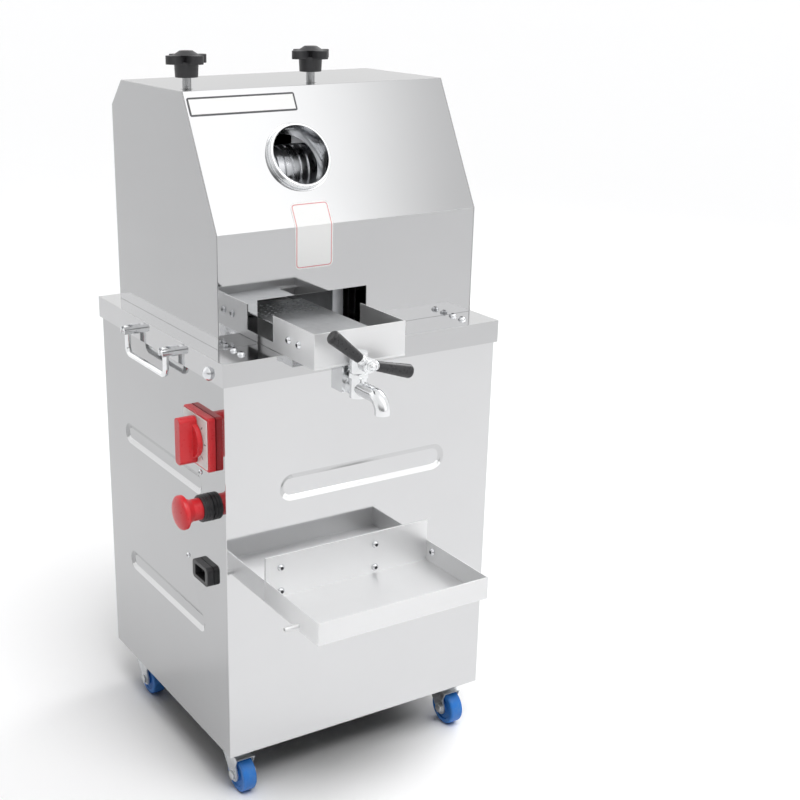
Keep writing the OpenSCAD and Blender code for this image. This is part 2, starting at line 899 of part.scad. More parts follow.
module hood_side(x) {
  translate([x, 0, 0])
    rotate([90, 0, 90])
      linear_extrude(sheet_t) polygon(hood_outer);
}

module hood_left_side() {
  color("silver") hood_side(hood_x0);
}

module hood_right_side() {
  color("silver") hood_side(hood_x1 - sheet_t);
}

module hood_wrap() {
  exit_x0 = barrel_x0;
  exit_x1 = barrel_x1;
  exit_z0 = lower_z - 20;
  exit_z1 = upper_z + 10;
  color("silver")
    difference() {
      translate([hood_x0 + sheet_t, 0, 0])
        rotate([90, 0, 90])
          linear_extrude(hood_x1 - hood_x0 - 2 * sheet_t)
            difference() {
              polygon(hood_outer);
              polygon(hood_inner);
            }
      box([mouth_x0, hood_y0 - 1, ledge_z - 1], [mouth_x1, hood_y0 + sheet_t + 1, mouth_z]);
      box([exit_x0, hood_y1 - sheet_t - 1, exit_z0], [exit_x1, hood_y1 + 1, exit_z1]);
      at_feed()
        translate([0, 0, -10]) cylinder(r = feed_r + seat_fit, h = 20);
      for (x = [mill_left_cx, mill_right_cx])
        translate([x, mill_cy, hood_top_z - 10])
          cylinder(r = screw_r + 2, h = 20);
    }
}

// Feed tube's frame: its middle on the slope, +Z out of the hood
module at_feed() {
  translate([feed_cx, feed_cy, feed_cz])
    rotate([90 - slope_a, 0, 0]) children();
}

module feed_tube() {
  rim = 3;
  color("silver")
    at_feed()
      difference() {
        union() {
          translate([0, 0, -feed_inner_l])
            cylinder(r = feed_r, h = feed_inner_l + feed_proud);
          cylinder(r = feed_r + rim, h = 1.5);
        }
        translate([0, 0, -feed_inner_l - 1])
          cylinder(r = feed_bore_r, h = feed_inner_l + feed_proud + 2);
      }
}

// Mill

module mill_plate(x) {
  shoulder_z = lower_z + bush_r + 8;
  color("lightgray")
    difference() {
      translate([x - mill_plate_t / 2, 0, 0])
        rotate([90, 0, 90])
          linear_extrude(mill_plate_t)
            polygon([[mill_cy - mill_half_d, ledge_z], [mill_cy + mill_half_d, ledge_z],
              [mill_cy + mill_half_d, shoulder_z], [mill_cy + mill_neck, upper_z],
              [mill_cy + mill_neck, mill_top_z], [mill_cy - mill_neck, mill_top_z],
              [mill_cy - mill_neck, upper_z], [mill_cy - mill_half_d, shoulder_z]]);
      for (y = [front_roller_y, rear_roller_y])
        rod_x(bush_r + run_fit, x - mill_plate_t, x + mill_plate_t, y, lower_z);
      box([x - mill_plate_t, mill_cy - block_w / 2 - seat_fit, upper_z - block_h / 2],
        [x + mill_plate_t, mill_cy + block_w / 2 + seat_fit, slot_top_z]);
      translate([x, mill_cy, slot_top_z - 1])
        cylinder(r = screw_r + run_fit, h = mill_top_z - slot_top_z + 2);
    }
}

module mill_plate_left() mill_plate(mill_left_cx);
module mill_plate_right() mill_plate(mill_right_cx);

module mill_tie_bars() {
  color("silver")
    for (p = tie_places)
      rod_x(tie_r, mill_left_in, mill_right_in, p[0], p[1]);
}

module roller_bearings() {
  color("goldenrod")
    for (x = [mill_left_cx, mill_right_cx]) {
      for (y = [front_roller_y, rear_roller_y])
        difference() {
          rod_x(bush_r, x - mill_plate_t / 2, x + mill_plate_t / 2, y, lower_z);
          rod_x(shaft_r + run_fit, x - mill_plate_t, x + mill_plate_t, y, lower_z);
        }
      difference() {
        box([x - mill_plate_t / 2, mill_cy - block_w / 2, upper_z - block_h / 2],
          [x + mill_plate_t / 2, mill_cy + block_w / 2, upper_z + block_h / 2]);
        rod_x(shaft_r + run_fit, x - mill_plate_t, x + mill_plate_t, mill_cy, upper_z);
      }
    }
}

// Grooved roller with its shaft, from the left end to x1
module roller(y, z, x1) {
  grooves = 14;
  groove_d = 1.5;
  groove_w = 3;
  step = (barrel_x1 - barrel_x0) / grooves;
  color("lightsteelblue")
    translate([0, y, z])
      rotate([0, 90, 0]) {
        rotate_extrude()
          polygon(concat([[0, barrel_x0], [roller_r, barrel_x0]],
            [for (i = [1:grooves - 1], k = [-1, 0, 1])
              [roller_r - (k == 0 ? groove_d : 0), barrel_x0 + i * step + k * groove_w / 2]],
            [[roller_r, barrel_x1], [0, barrel_x1]]));
        translate([0, 0, shaft_x0])
          cylinder(r = shaft_r, h = x1 - shaft_x0);
      }
}

module top_roller() roller(mill_cy, upper_z, sprocket_x + sprocket_w + 3);
module front_roller() roller(front_roller_y, lower_z, gear_x1 + shaft_end);
module rear_roller() roller(rear_roller_y, lower_z, gear_x1 + shaft_end);

// Gear across X with one tooth turned to the angle turn, measured from +Y towards +Z
module roller_gear(y, z, turn) {
  tip_r = gear_pitch_r + 0.9 * gear_module;
  root_r = gear_pitch_r - 1.2 * gear_module;
  root_half = 0.33 * tooth_a;
  pitch_half = 0.235 * tooth_a;
  tip_half = 0.1 * tooth_a;
  color("gray")
    translate([gear_x0, y, z])
      rotate([90, 0, 90])
        linear_extrude(gear_w)
          difference() {
            polygon([for (i = [0:gear_teeth - 1], p = [[root_r, -root_half], [gear_pitch_r, -pitch_half],
                [tip_r, -tip_half], [tip_r, tip_half], [gear_pitch_r, pitch_half], [root_r, root_half]])
              let (a = turn + i * tooth_a + p[1]) [p[0] * cos(a), p[0] * sin(a)]]);
            circle(r = shaft_r + seat_fit / 2);
          }
}

module top_gear() roller_gear(mill_cy, upper_z, 0);
module front_gear() roller_gear(front_roller_y, lower_z, mesh_turn(front_line_a));
module rear_gear() roller_gear(rear_roller_y, lower_z, mesh_turn(rear_line_a));

// Sprocket teeth across X
module sprocket_disc(teeth, y, z) {
  r = pitch_r(teeth);
  step = 360 / teeth;
  translate([sprocket_x, y, z])
    rotate([90, 0, 90])
      linear_extrude(sprocket_w)
        polygon([for (i = [0:teeth - 1], p = [[r - 4, -0.3], [r + 3.5, -0.1], [r + 3.5, 0.1], [r - 4, 0.3]])
          [p[0] * cos((i + p[1]) * step), p[0] * sin((i + p[1]) * step)]]);
}

module driven_sprocket() {
  hub_r_driven = shaft_r + 9;
  color("dimgray")
    difference() {
      union() {
        sprocket_disc(driven_teeth, mill_cy, upper_z);
        rod_x(hub_r_driven, gear_x1 + pass_gap, sprocket_x + eps, mill_cy, upper_z);
      }
      rod_x(shaft_r + seat_fit / 2, gear_x1 - 5, sprocket_x + 20, mill_cy, upper_z);
    }
}

module drive_sprocket() {
  color("dimgray") {
    sprocket_disc(drive_teeth, mill_cy, drive_z);
    rod_x(drive_shaft_r, gearbox_x1 - shaft_seat + 2, sprocket_x + sprocket_w + 3, mill_cy, drive_z);
  }
}

// Chain: two side plates beside the sprockets, with rollers on the free runs
module chain_loop(grow) {
  hull() {
    translate([0, drive_z]) circle(r = drive_r + grow, $fn = 32);
    translate([0, upper_z]) circle(r = driven_r + grow, $fn = 32);
  }
}

module drive_chain() {
  rollers = 12;
  roller_d = 7;
  plate_x = sprocket_w / 2 + 0.4;
  color("darkslategray")
    translate([chain_x, mill_cy, 0]) {
      for (s = [-1, 1])
        translate([s > 0 ? plate_x : -plate_x - chain_plate_t, 0, 0])
          rotate([90, 0, 90])
            linear_extrude(chain_plate_t)
              difference() {
                chain_loop(chain_half);
                chain_loop(-chain_half);
              }
      for (s = [-1, 1], i = [1:rollers]) {
        t = 0.1 + 0.8 * i / (rollers + 1);
        r = drive_r + t * (driven_r - drive_r);
        rod_x(roller_d / 2, -plate_x - 1, plate_x + 1, s * r * cos(chain_lean),
          drive_z + t * chain_l - r * sin(chain_lean));
      }
    }
}

module trash_plate() {
  half_t = 6;
  color("silver")
    box([mill_left_in, mill_cy - half_t, lower_z - 14],
      [mill_right_in, mill_cy + half_t, upper_z - roller_r - 4]);
}

module juice_chute() {
  chute_run = drawer_x0 + 10 - mill_left_in;
  chute_drop = 14;
  chute_z = tie_low_z - tie_r - 4;
  color("silver")
    translate([mill_left_in, mill_cy + mill_half_d - 4, 0])
      rotate([90, 0, 0])
        linear_extrude(2 * mill_half_d - 8)
          polygon([[0, chute_z], [chute_run, chute_z - chute_drop], [chute_run, chute_z - chute_drop - sheet_t],
            [0, chute_z - sheet_t]]);
}

module drawer_guide() {
  guide_h = 12;
  color("silver")
    box([drawer_x0 - 0.5 - sheet_t, hood_y0 + sheet_t + 4, ledge_z],
      [drawer_x0 - 0.5, mill_cy + mill_half_d, ledge_z + guide_h]);
}

// Pressure screws and their star knobs

module press_screw(x) {
  color("silver")
    translate([x, mill_cy, upper_z + block_h / 2 + 0.2])
      cylinder(r = screw_r, h = hood_top_z + knob_lift + knob_hub_h - upper_z - block_h / 2 - 0.2 - 4);
}

module press_screw_left() press_screw(mill_left_cx);
module press_screw_right() press_screw(mill_right_cx);

module star_knob(x) {
  arms = 4;
  arm_z = knob_hub_h - 2;
  color("black")
    translate([x, mill_cy, hood_top_z + knob_lift])
      difference() {
        union() {
          cylinder(r1 = knob_hub_r - 1, r2 = knob_hub_r, h = knob_hub_h);
          for (i = [0:arms - 1])
            rotate(12 + i * 360 / arms) {
              translate([knob_reach - knob_arm_r, 0, arm_z])
                cylinder(r = knob_arm_r, h = knob_arm_h);
              translate([0, -knob_arm_r, arm_z])
                cube([knob_reach - knob_arm_r, 2 * knob_arm_r, knob_arm_h]);
            }
          translate([0, 0, arm_z + knob_arm_h - eps])
            cylinder(r1 = knob_hub_r + 1, r2 = knob_hub_r - 7, h = 5);
        }
        translate([0, 0, -1])
          cylinder(r = screw_r + seat_fit / 2, h = knob_hub_h - 4 + 1 + seat_fit);
      }
}

module knob_left() star_knob(mill_left_cx);
module knob_right() star_knob(mill_right_cx);

// Juice drawer, its strainer and its tap

module juice_drawer() {
  color("silver")
    difference() {
      union() {
        difference() {
          box([drawer_x0, drawer_y0, drawer_z], [drawer_x1, drawer_y1, drawer_top_z]);
          box([drawer_x0 + sheet_t, drawer_y0 + sheet_t, drawer_z + sheet_t],
            [drawer_x1 - sheet_t, drawer_y1 - sheet_t, drawer_top_z + 1]);
          box([drawer_x0 - 1, drawer_step_y, drawer_z + drawer_rear_h],
            [drawer_x1 + 1, drawer_y1 + 1, drawer_top_z + 1]);
        }
        box([drawer_x0 + sheet_t - eps, drawer_y0 + sheet_t - eps, strainer_z - sheet_t],
          [drawer_x0 + sheet_t + support_w, drawer_step_y - 4, strainer_z]);
        box([drawer_x0 + sheet_t - eps, drawer_y0 + sheet_t - eps, strainer_z - sheet_t],
          [drawer_x1 - sheet_t + eps, drawer_y0 + sheet_t + support_w, strainer_z]);
      }
      translate([tap_cx, sump_y, drawer_z - 1])
        cylinder(r = sump_r - 4, h = sheet_t + 2);
      at_drawer_bolts() bolt_hole(bolt_mid, sheet_t);
    }
}

module at_drawer_bolts() {
  bolt_h = 22;
  for (y = [35, 59])
    translate([drawer_x0, drawer_y0 + y, drawer_z + bolt_h])
      facing_left() children();
}

module drawer_bolts() {
  color("silver")
    at_drawer_bolts() bolt(bolt_mid, sheet_t);
}

module strainer() {
  holes_x = 9;
  holes_y = 6;
  hole_r = 2.5;
  strainer_rear_l = 90;
  x0 = drawer_x0 + sheet_t + 0.5;
  y0 = drawer_y0 + sheet_t + 0.5;
  strainer_l = drawer_front_l + strainer_rear_l;
  step_x = strainer_w / (holes_x + 1);
  color("dimgray")
    difference() {
      box([x0, y0, strainer_z], [x0 + strainer_w, y0 + strainer_l, strainer_z + sheet_t]);
      for (i = [1:holes_x], j = [1:holes_y])
        translate([x0 + i * step_x, y0 + strainer_l - j * step_x, strainer_z - 1])
          cylinder(r = hole_r, h = sheet_t + 2, $fn = 16);
    }
}

// Quarter bend of the spout, from level to straight down
module spout_bend(r) {
  translate([tap_cx, spout_y, pipe_z - spout_bend_r])
    rotate([0, 0, 180])
      rotate([90, 0, 90])
        rotate_extrude(angle = 90)
          translate([spout_bend_r, 0]) circle(r = r);
}

module tap_body() {
  flange_r = tap_pipe_r + 3;
  flange_t = 4;
  tip_y = spout_y - spout_bend_r;
  color("lightgray")
    difference() {
      union() {
        box([tap_cx - sump_r, sump_y - sump_r, drawer_z - sump_h], [tap_cx + sump_r, sump_y + sump_r, drawer_z]);
        rod_y(flange_r, drawer_y0 - flange_t, drawer_y0 + 4, tap_cx, pipe_z);
        rod_y(tap_pipe_r, spout_y, sump_y, tap_cx, pipe_z);
        translate([tap_cx, valve_y, pipe_z - tap_pipe_r - 3])
          cylinder(r = valve_r, h = spindle_z + 14 - pipe_z + tap_pipe_r);
        rod_y(7, boss_y, valve_y, tap_cx, spindle_z);
        spout_bend(tap_pipe_r);
        translate([tap_cx, tip_y, pipe_z - spout_bend_r - spout_tip])
          cylinder(r = tap_pipe_r, h = spout_tip);
      }
      translate([tap_cx, sump_y, drawer_z - sump_h + 3])
        cylinder(r = sump_r - 4, h = sump_h);
      rod_y(tap_bore_r, spout_y - eps, sump_y, tap_cx, pipe_z);
      spout_bend(tap_bore_r);
      translate([tap_cx, tip_y, pipe_z - spout_bend_r - spout_tip - 1])
        cylinder(r = tap_bore_r, h = spout_tip + 1 + eps);
      rod_y(3.5 + run_fit, boss_y - 1, boss_y + 8, tap_cx, spindle_z);
    }
}

// Frame of the tap's handle: hub in the middle, X along the left and right arms
module at_tap_hub() {
  translate([tap_cx, hub_y, spindle_z])
    rotate([0, handle_tilt, 0]) children();
}

// Both arms of the tap's handle: the right one along X, the left one mirrored
module at_tap_arms() {
  for (s = [0, 1])
    mirror([s, 0, 0])
      rotate([0, -arm_rise, 0]) children();
}

module tap_handle() {
  color("silver")
    at_tap_hub() {
      rod_y(hub_r, -hub_w / 2, hub_w / 2, 0, 0);
      rod_y(3.5, 0, hub_w / 2 + pass_gap + 7, 0, 0);
      at_tap_arms() {
        rod_x(bar_r, 0, grip_reach - grip_cap, 0, 0);
        rod_x(bar_r + 1.2, hub_r - 2, grip_reach - grip_l, 0, 0);
      }
    }
}

module tap_grips() {
  root_r = grip_end_r - 2.5;
  round_l = 4;
  cap_from = grip_l - grip_cap + seat_fit;
  color("black")
    at_tap_hub()
      at_tap_arms()
        rotate([0, 90, 0])
          translate([0, 0, grip_reach - grip_l])
            rotate_extrude()
              polygon(concat([[bar_r + seat_fit / 2, 0], [root_r, 0], [grip_end_r, grip_l - round_l]],
                [for (a = [15:15:90]) [grip_end_r - round_l + round_l * cos(a), grip_l - round_l + round_l * sin(a)]],
                [[0, grip_l], [0, cap_from], [bar_r + seat_fit / 2, cap_from]]));
}

// Casters

// Runs its children at a caster's swivel axis on the floor
module at_caster(sx, sy) {
  translate([sx * swivel_x, sy * swivel_y, 0]) children();
}

module caster_plates() {
  color("lightgray")
    for (sx = [-1, 1], sy = [-1, 1])
      at_caster(sx, sy) {
        translate([-caster_plate_w / 2, -caster_plate_w / 2, caster_h - caster_plate_t])
          cube([caster_plate_w, caster_plate_w, caster_plate_t]);
        translate([0, 0, fork_top_z + pass_gap])
          cylinder(r = race_r, h = race_h + eps);
        translate([0, 0, fork_top_z - 6])
          cylinder(r = 5, h = 8);
      }
}

// Fork with its axle: a crown under the race and two cheeks down to the wheel
module caster_fork() {
  crown_t = 4;
  cheek_r = 10;
  crown_z = fork_top_z - crown_t;
  difference() {
    union() {
      translate([0, 0, crown_z])
        cylinder(r = race_r + 3, h = crown_t);
      box([-fork_in - fork_t, -race_r - 1, crown_z], [fork_in + fork_t, race_r + 1, crown_z + crown_t]);
      for (s = [-1, 1])
        translate([s > 0 ? fork_in : -fork_in - fork_t, 0, 0]) {
          rotate([90, 0, 90])
            linear_extrude(fork_t)
              polygon([[race_r + 1, crown_z + crown_t], [-race_r - 1, crown_z + crown_t],
                [-trail - cheek_r, wheel_r + 2], [-trail - cheek_r * 0.7, wheel_r - cheek_r * 0.7],
                [-trail + cheek_r * 0.7, wheel_r - cheek_r * 0.7], [race_r + 1, crown_z - 6]]);
          rod_x(cheek_r, 0, fork_t, -trail, wheel_r);
        }
      rod_x(axle_r, -fork_in - fork_t - 2, fork_in + fork_t + 2, -trail, wheel_r);
    }
    translate([0, 0, crown_z - 3])
      cylinder(r = 5 + run_fit, h = crown_t + 6);
  }
}

module caster_wheel() {
  rounding = 3;
  hub_out = wheel_w / 2 + 0.6;
  translate([0, -trail, wheel_r])
    rotate([0, 90, 0])
      rotate_extrude()
        polygon(concat([[axle_r + run_fit, -hub_out], [9, -hub_out], [9, -wheel_w / 2 + 2], [wheel_r - 8, -wheel_w / 2 + 2],
          [wheel_r - 7, -wheel_w / 2]],
          [for (a = [-90:30:0]) [wheel_r - rounding + rounding * cos(a), -wheel_w / 2 + rounding + rounding * sin(a)]],
          [for (a = [0:30:90]) [wheel_r - rounding + rounding * cos(a), wheel_w / 2 - rounding + rounding * sin(a)]],
          [[wheel_r - 7, wheel_w / 2], [wheel_r - 8, wheel_w / 2 - 2], [9, wheel_w / 2 - 2], [9, hub_out],
          [axle_r + run_fit, hub_out]]));
}

module fork_at(sx, sy) {
  color("lightgray") at_caster(sx, sy) caster_fork();
}

module wheel_at(sx, sy) {
  color("dodgerblue") at_caster(sx, sy) caster_wheel();
}

module caster_fork_front_left() fork_at(-1, -1);
module caster_fork_front_right() fork_at(1, -1);
module caster_fork_rear_left() fork_at(-1, 1);
module caster_fork_rear_right() fork_at(1, 1);
module caster_wheel_front_left() wheel_at(-1, -1);
module caster_wheel_front_right() wheel_at(1, -1);
module caster_wheel_rear_left() wheel_at(-1, 1);
module caster_wheel_rear_right() wheel_at(1, 1);

bottom_plate();
corner_posts();
front_panel();
left_panel();
right_panel();
rear_panel();
top_cover();
gearbox();
drive_motor();
power_inlet();
switch_base();
switch_faceplate();
estop_base();
drip_tray();
cabinet_bolts();
handle_lugs();
hood_wrap();
hood_left_side();
hood_right_side();
feed_tube();
mill_plate_left();
mill_plate_right();
mill_tie_bars();
roller_bearings();
drive_chain();
trash_plate();
juice_chute();
drawer_guide();
caster_plates();
left_handle();
right_handle();
press_screw_left();
knob_left();
press_screw_right();
knob_right();
top_roller();
front_roller();
rear_roller();
top_gear();
front_gear();
rear_gear();
driven_sprocket();
drive_sprocket();
juice_drawer();
strainer();
drawer_bolts();
tap_body();
tap_handle();
tap_grips();
switch_knob();
estop_button();
caster_fork_front_left();
caster_fork_front_right();
caster_fork_rear_left();
caster_fork_rear_right();
caster_wheel_front_left();
caster_wheel_front_right();
caster_wheel_rear_left();
caster_wheel_rear_right();
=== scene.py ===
"""Looks of the electric roller juicer: finishes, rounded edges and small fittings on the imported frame."""

import json
import math

import bpy
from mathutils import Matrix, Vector

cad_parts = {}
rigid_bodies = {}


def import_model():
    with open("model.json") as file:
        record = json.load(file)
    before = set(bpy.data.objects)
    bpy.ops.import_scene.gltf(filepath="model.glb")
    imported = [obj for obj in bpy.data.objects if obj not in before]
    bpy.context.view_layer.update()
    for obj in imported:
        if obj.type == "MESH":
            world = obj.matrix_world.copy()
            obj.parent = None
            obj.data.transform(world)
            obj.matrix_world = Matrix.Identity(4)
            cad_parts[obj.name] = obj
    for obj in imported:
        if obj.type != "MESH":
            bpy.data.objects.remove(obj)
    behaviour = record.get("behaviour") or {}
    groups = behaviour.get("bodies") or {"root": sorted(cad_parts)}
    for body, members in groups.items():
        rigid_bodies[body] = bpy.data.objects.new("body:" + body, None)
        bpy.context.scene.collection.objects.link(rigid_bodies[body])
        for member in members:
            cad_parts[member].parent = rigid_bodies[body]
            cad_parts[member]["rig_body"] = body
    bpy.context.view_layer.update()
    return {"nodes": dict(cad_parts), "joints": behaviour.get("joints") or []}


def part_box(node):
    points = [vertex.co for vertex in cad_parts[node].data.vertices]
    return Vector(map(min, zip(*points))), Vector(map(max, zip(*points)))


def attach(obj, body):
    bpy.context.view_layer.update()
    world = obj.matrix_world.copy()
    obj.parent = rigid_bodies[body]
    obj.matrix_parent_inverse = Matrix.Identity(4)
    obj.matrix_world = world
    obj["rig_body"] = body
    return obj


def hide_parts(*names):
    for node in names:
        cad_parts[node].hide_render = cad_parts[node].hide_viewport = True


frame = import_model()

MM = 0.001

# Names of the fixed body and of the casters' corners

CABINET = "cabinet"
CORNERS = ("front_left", "front_right", "rear_left", "rear_right")

# Sizes that the CAD model has too, in metres

SHEET = 1.5 * MM
HOOD_UPRIGHT = 140 * MM
SLOPE_RUN = 85 * MM
FEED_UP_SLOPE = 88 * MM

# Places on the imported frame, in metres

PANEL_LEFT_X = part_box("bottom_plate")[0].x - SHEET
LEDGE_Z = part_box("top_cover")[1].z
HOOD_LOW, HOOD_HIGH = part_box("hood_wrap")
HOOD_FRONT_Y = HOOD_LOW.y
BEND_Z = LEDGE_Z + HOOD_UPRIGHT
SLOPE_RISE = HOOD_HIGH.z - BEND_Z
SLOPE_LENGTH = math.hypot(SLOPE_RUN, SLOPE_RISE)
SLOPE_UP = Vector((0, SLOPE_RUN / SLOPE_LENGTH, SLOPE_RISE / SLOPE_LENGTH))
SLOPE_OUT = Vector((0, -SLOPE_RISE / SLOPE_LENGTH, SLOPE_RUN / SLOPE_LENGTH))
FEED_X = sum(corner.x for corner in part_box("feed_tube")) / 2
FEED_MIDDLE = Vector((FEED_X, HOOD_FRONT_Y, BEND_Z)) + FEED_UP_SLOPE * SLOPE_UP

# Distances under which points become one, in metres

MERGE_NODE = 0.00002
MERGE_TURNED = 0.000005


# Working with objects the way they are worked by hand


def deselect():
    """Leaves edit mode with nothing selected."""
    if bpy.context.mode != "OBJECT":
        bpy.ops.object.mode_set(mode="OBJECT")
    bpy.ops.object.select_all(action="DESELECT")


def pick(piece):
    """Makes a piece the active object and the only selected one."""
    deselect()
    piece.select_set(True)
    bpy.context.view_layer.objects.active = piece


def newest():
    """The object that an operator has just added."""
    return bpy.context.view_layer.objects.active


def apply_modifiers(piece):
    """Applies the modifiers of a piece in their order."""
    pick(piece)
    for modifier in list(piece.modifiers):
        bpy.ops.object.modifier_apply(modifier=modifier.name)


def settle(piece):
    """Puts the place of a piece into its mesh, so that its object sits at the origin."""
    pick(piece)
    bpy.ops.object.transform_apply(location=True, rotation=True, scale=True)


def name_piece(piece, name, material, body, smooth):
    """Names a finished piece, gives it its finish, and lets it ride on a body."""
    piece.name = name
    piece.data.name = name
    if material:
        piece.data.materials.clear()
        piece.data.materials.append(material)
    settle(piece)
    if smooth:
        bpy.ops.object.shade_smooth_by_angle(angle=math.radians(smooth))
    deselect()
    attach(piece, body)


def select_faces(piece, wanted):
    """Selects in edit mode the faces for which wanted(centre, normal) holds."""
    pick(piece)
    bpy.ops.object.mode_set(mode="EDIT")
    bpy.ops.mesh.select_mode(type="FACE")
    bpy.ops.mesh.select_all(action="DESELECT")
    bpy.ops.object.mode_set(mode="OBJECT")
    for face in piece.data.polygons:
        face.select = bool(wanted(face.center, face.normal))
    bpy.ops.object.mode_set(mode="EDIT")


def assign(piece, slot):
    """Gives the selected faces the finish in a slot, in edit mode."""
    piece.active_material_index = slot
    bpy.ops.object.material_slot_assign()


def free_copy(node):
    """A copy of a CAD node that belongs to no body yet, with its vertices merged."""
    pick(frame["nodes"][node])
    bpy.ops.object.duplicate()
    piece = newest()
    piece.parent = None
    for key in list(piece.keys()):
        del piece[key]
    pick(piece)
    bpy.ops.object.mode_set(mode="EDIT")
    bpy.ops.mesh.select_all(action="SELECT")
    bpy.ops.mesh.remove_doubles(threshold=MERGE_NODE)
    bpy.ops.object.mode_set(mode="OBJECT")
    return piece


def rounded_copy(node, width, material, segments=2, angle=24, tidy=0.6):
    """A copy of a CAD node with its edges rounded, which stands for the node."""
    body = frame["nodes"][node]["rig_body"]
    piece = free_copy(node)
    bpy.ops.object.mode_set(mode="EDIT")
    bpy.ops.mesh.dissolve_limited(angle_limit=math.radians(tidy))
    bpy.ops.mesh.customdata_custom_splitnormals_clear()
    bpy.ops.mesh.normals_make_consistent(inside=False)
    bpy.ops.object.mode_set(mode="OBJECT")
    bpy.ops.object.shade_smooth()
    bevel = piece.modifiers.new("edge_round", "BEVEL")
    bevel.width = width
    bevel.segments = segments
    bevel.limit_method = "ANGLE"
    bevel.angle_limit = math.radians(angle)
    weighted = piece.modifiers.new("flat_faces", "WEIGHTED_NORMAL")
    weighted.weight = 100
    apply_modifiers(piece)
    name_piece(piece, node + "_finish", material, body, 0)
    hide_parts(node)
    return piece


def drawn(points):
    """A line drawn from point to point in mm, left selected in edit mode."""
    deselect()
    bpy.ops.mesh.primitive_plane_add(size=MM)
    piece = newest()
    bpy.ops.object.mode_set(mode="EDIT")
    bpy.ops.mesh.select_mode(type="VERT")
    bpy.ops.mesh.select_all(action="SELECT")
    bpy.ops.mesh.merge(type="CENTER")
    place = Vector(points[0])
    bpy.ops.transform.translate(value=place * MM)
    for point in points[1:]:
        bpy.ops.mesh.extrude_vertices_move(TRANSFORM_OT_translate={"value": (Vector(point) - place) * MM})
        place = Vector(point)
    bpy.ops.mesh.select_all(action="SELECT")
    return piece


def turned(profile, steps):
    """A piece turned about Z: the (radius, height) points in mm are drawn edge by edge, then spun."""
    piece = drawn([(radius, 0, height) for radius, height in profile])
    bpy.ops.mesh.spin(steps=steps, angle=2 * math.pi, center=(0, 0, 0), axis=(0, 0, 1))
    bpy.ops.mesh.select_all(action="SELECT")
    bpy.ops.mesh.remove_doubles(threshold=MERGE_TURNED)
    bpy.ops.mesh.normals_make_consistent(inside=False)
    bpy.ops.object.mode_set(mode="OBJECT")
    return piece


def round_edges(piece, width, segments=2):
    """Rounds every edge of a new primitive by width in mm."""
    settle(piece)
    bpy.ops.object.mode_set(mode="EDIT")
    bpy.ops.mesh.select_all(action="SELECT")
    bpy.ops.mesh.bevel(offset=width * MM, segments=segments, affect="EDGES")
    bpy.ops.object.mode_set(mode="OBJECT")
    return piece


def block(low, high, width, segments=2):
    """A box between two corners in metres, with its edges rounded by width in mm."""
    deselect()
    low = Vector(low)
    high = Vector(high)
    bpy.ops.mesh.primitive_cube_add(size=1, location=(low + high) / 2, scale=high - low)
    return round_edges(newest(), width, segments)


def hexagon(radius, height, width):
    """A hexagonal nut blank that stands on z = 0, in mm."""
    deselect()
    bpy.ops.mesh.primitive_cylinder_add(vertices=6, radius=radius * MM, depth=height * MM)
    piece = newest()
    piece.location.z = height * MM / 2
    return round_edges(piece, width)


def stand(piece, place, axis):
    """Puts a piece that was made about Z at a place, with its Z along axis."""
    piece.location = place
    piece.rotation_euler = Vector(axis).to_track_quat("Z", "Y").to_euler()
    settle(piece)
    return piece


def joined(pieces):
    """Several pieces as one object."""
    deselect()
    for piece in pieces:
        piece.select_set(True)
    bpy.context.view_layer.objects.active = pieces[0]
    bpy.ops.object.join()
    return pieces[0]


def islands(node):
    """The boxes of the separate solids of a CAD node, as (low, high) corners."""
    free_copy(node)
    bpy.ops.object.mode_set(mode="EDIT")
    bpy.ops.mesh.separate(type="LOOSE")
    bpy.ops.object.mode_set(mode="OBJECT")
    boxes = []
    for part in bpy.context.selected_objects:
        corners = [part.matrix_world @ Vector(corner) for corner in part.bound_box]
        low = Vector([min(c[i] for c in corners) for i in range(3)])
        high = Vector([max(c[i] for c in corners) for i in range(3)])
        boxes.append((low, high))
    bpy.ops.object.delete()
    return boxes


def joint_place(name):
    """Where a joint of the part has its axis."""
    for joint in frame["joints"]:
        if joint["name"] == name:
            return Vector(joint["pos_m"])
    raise KeyError(name)


# Finishes


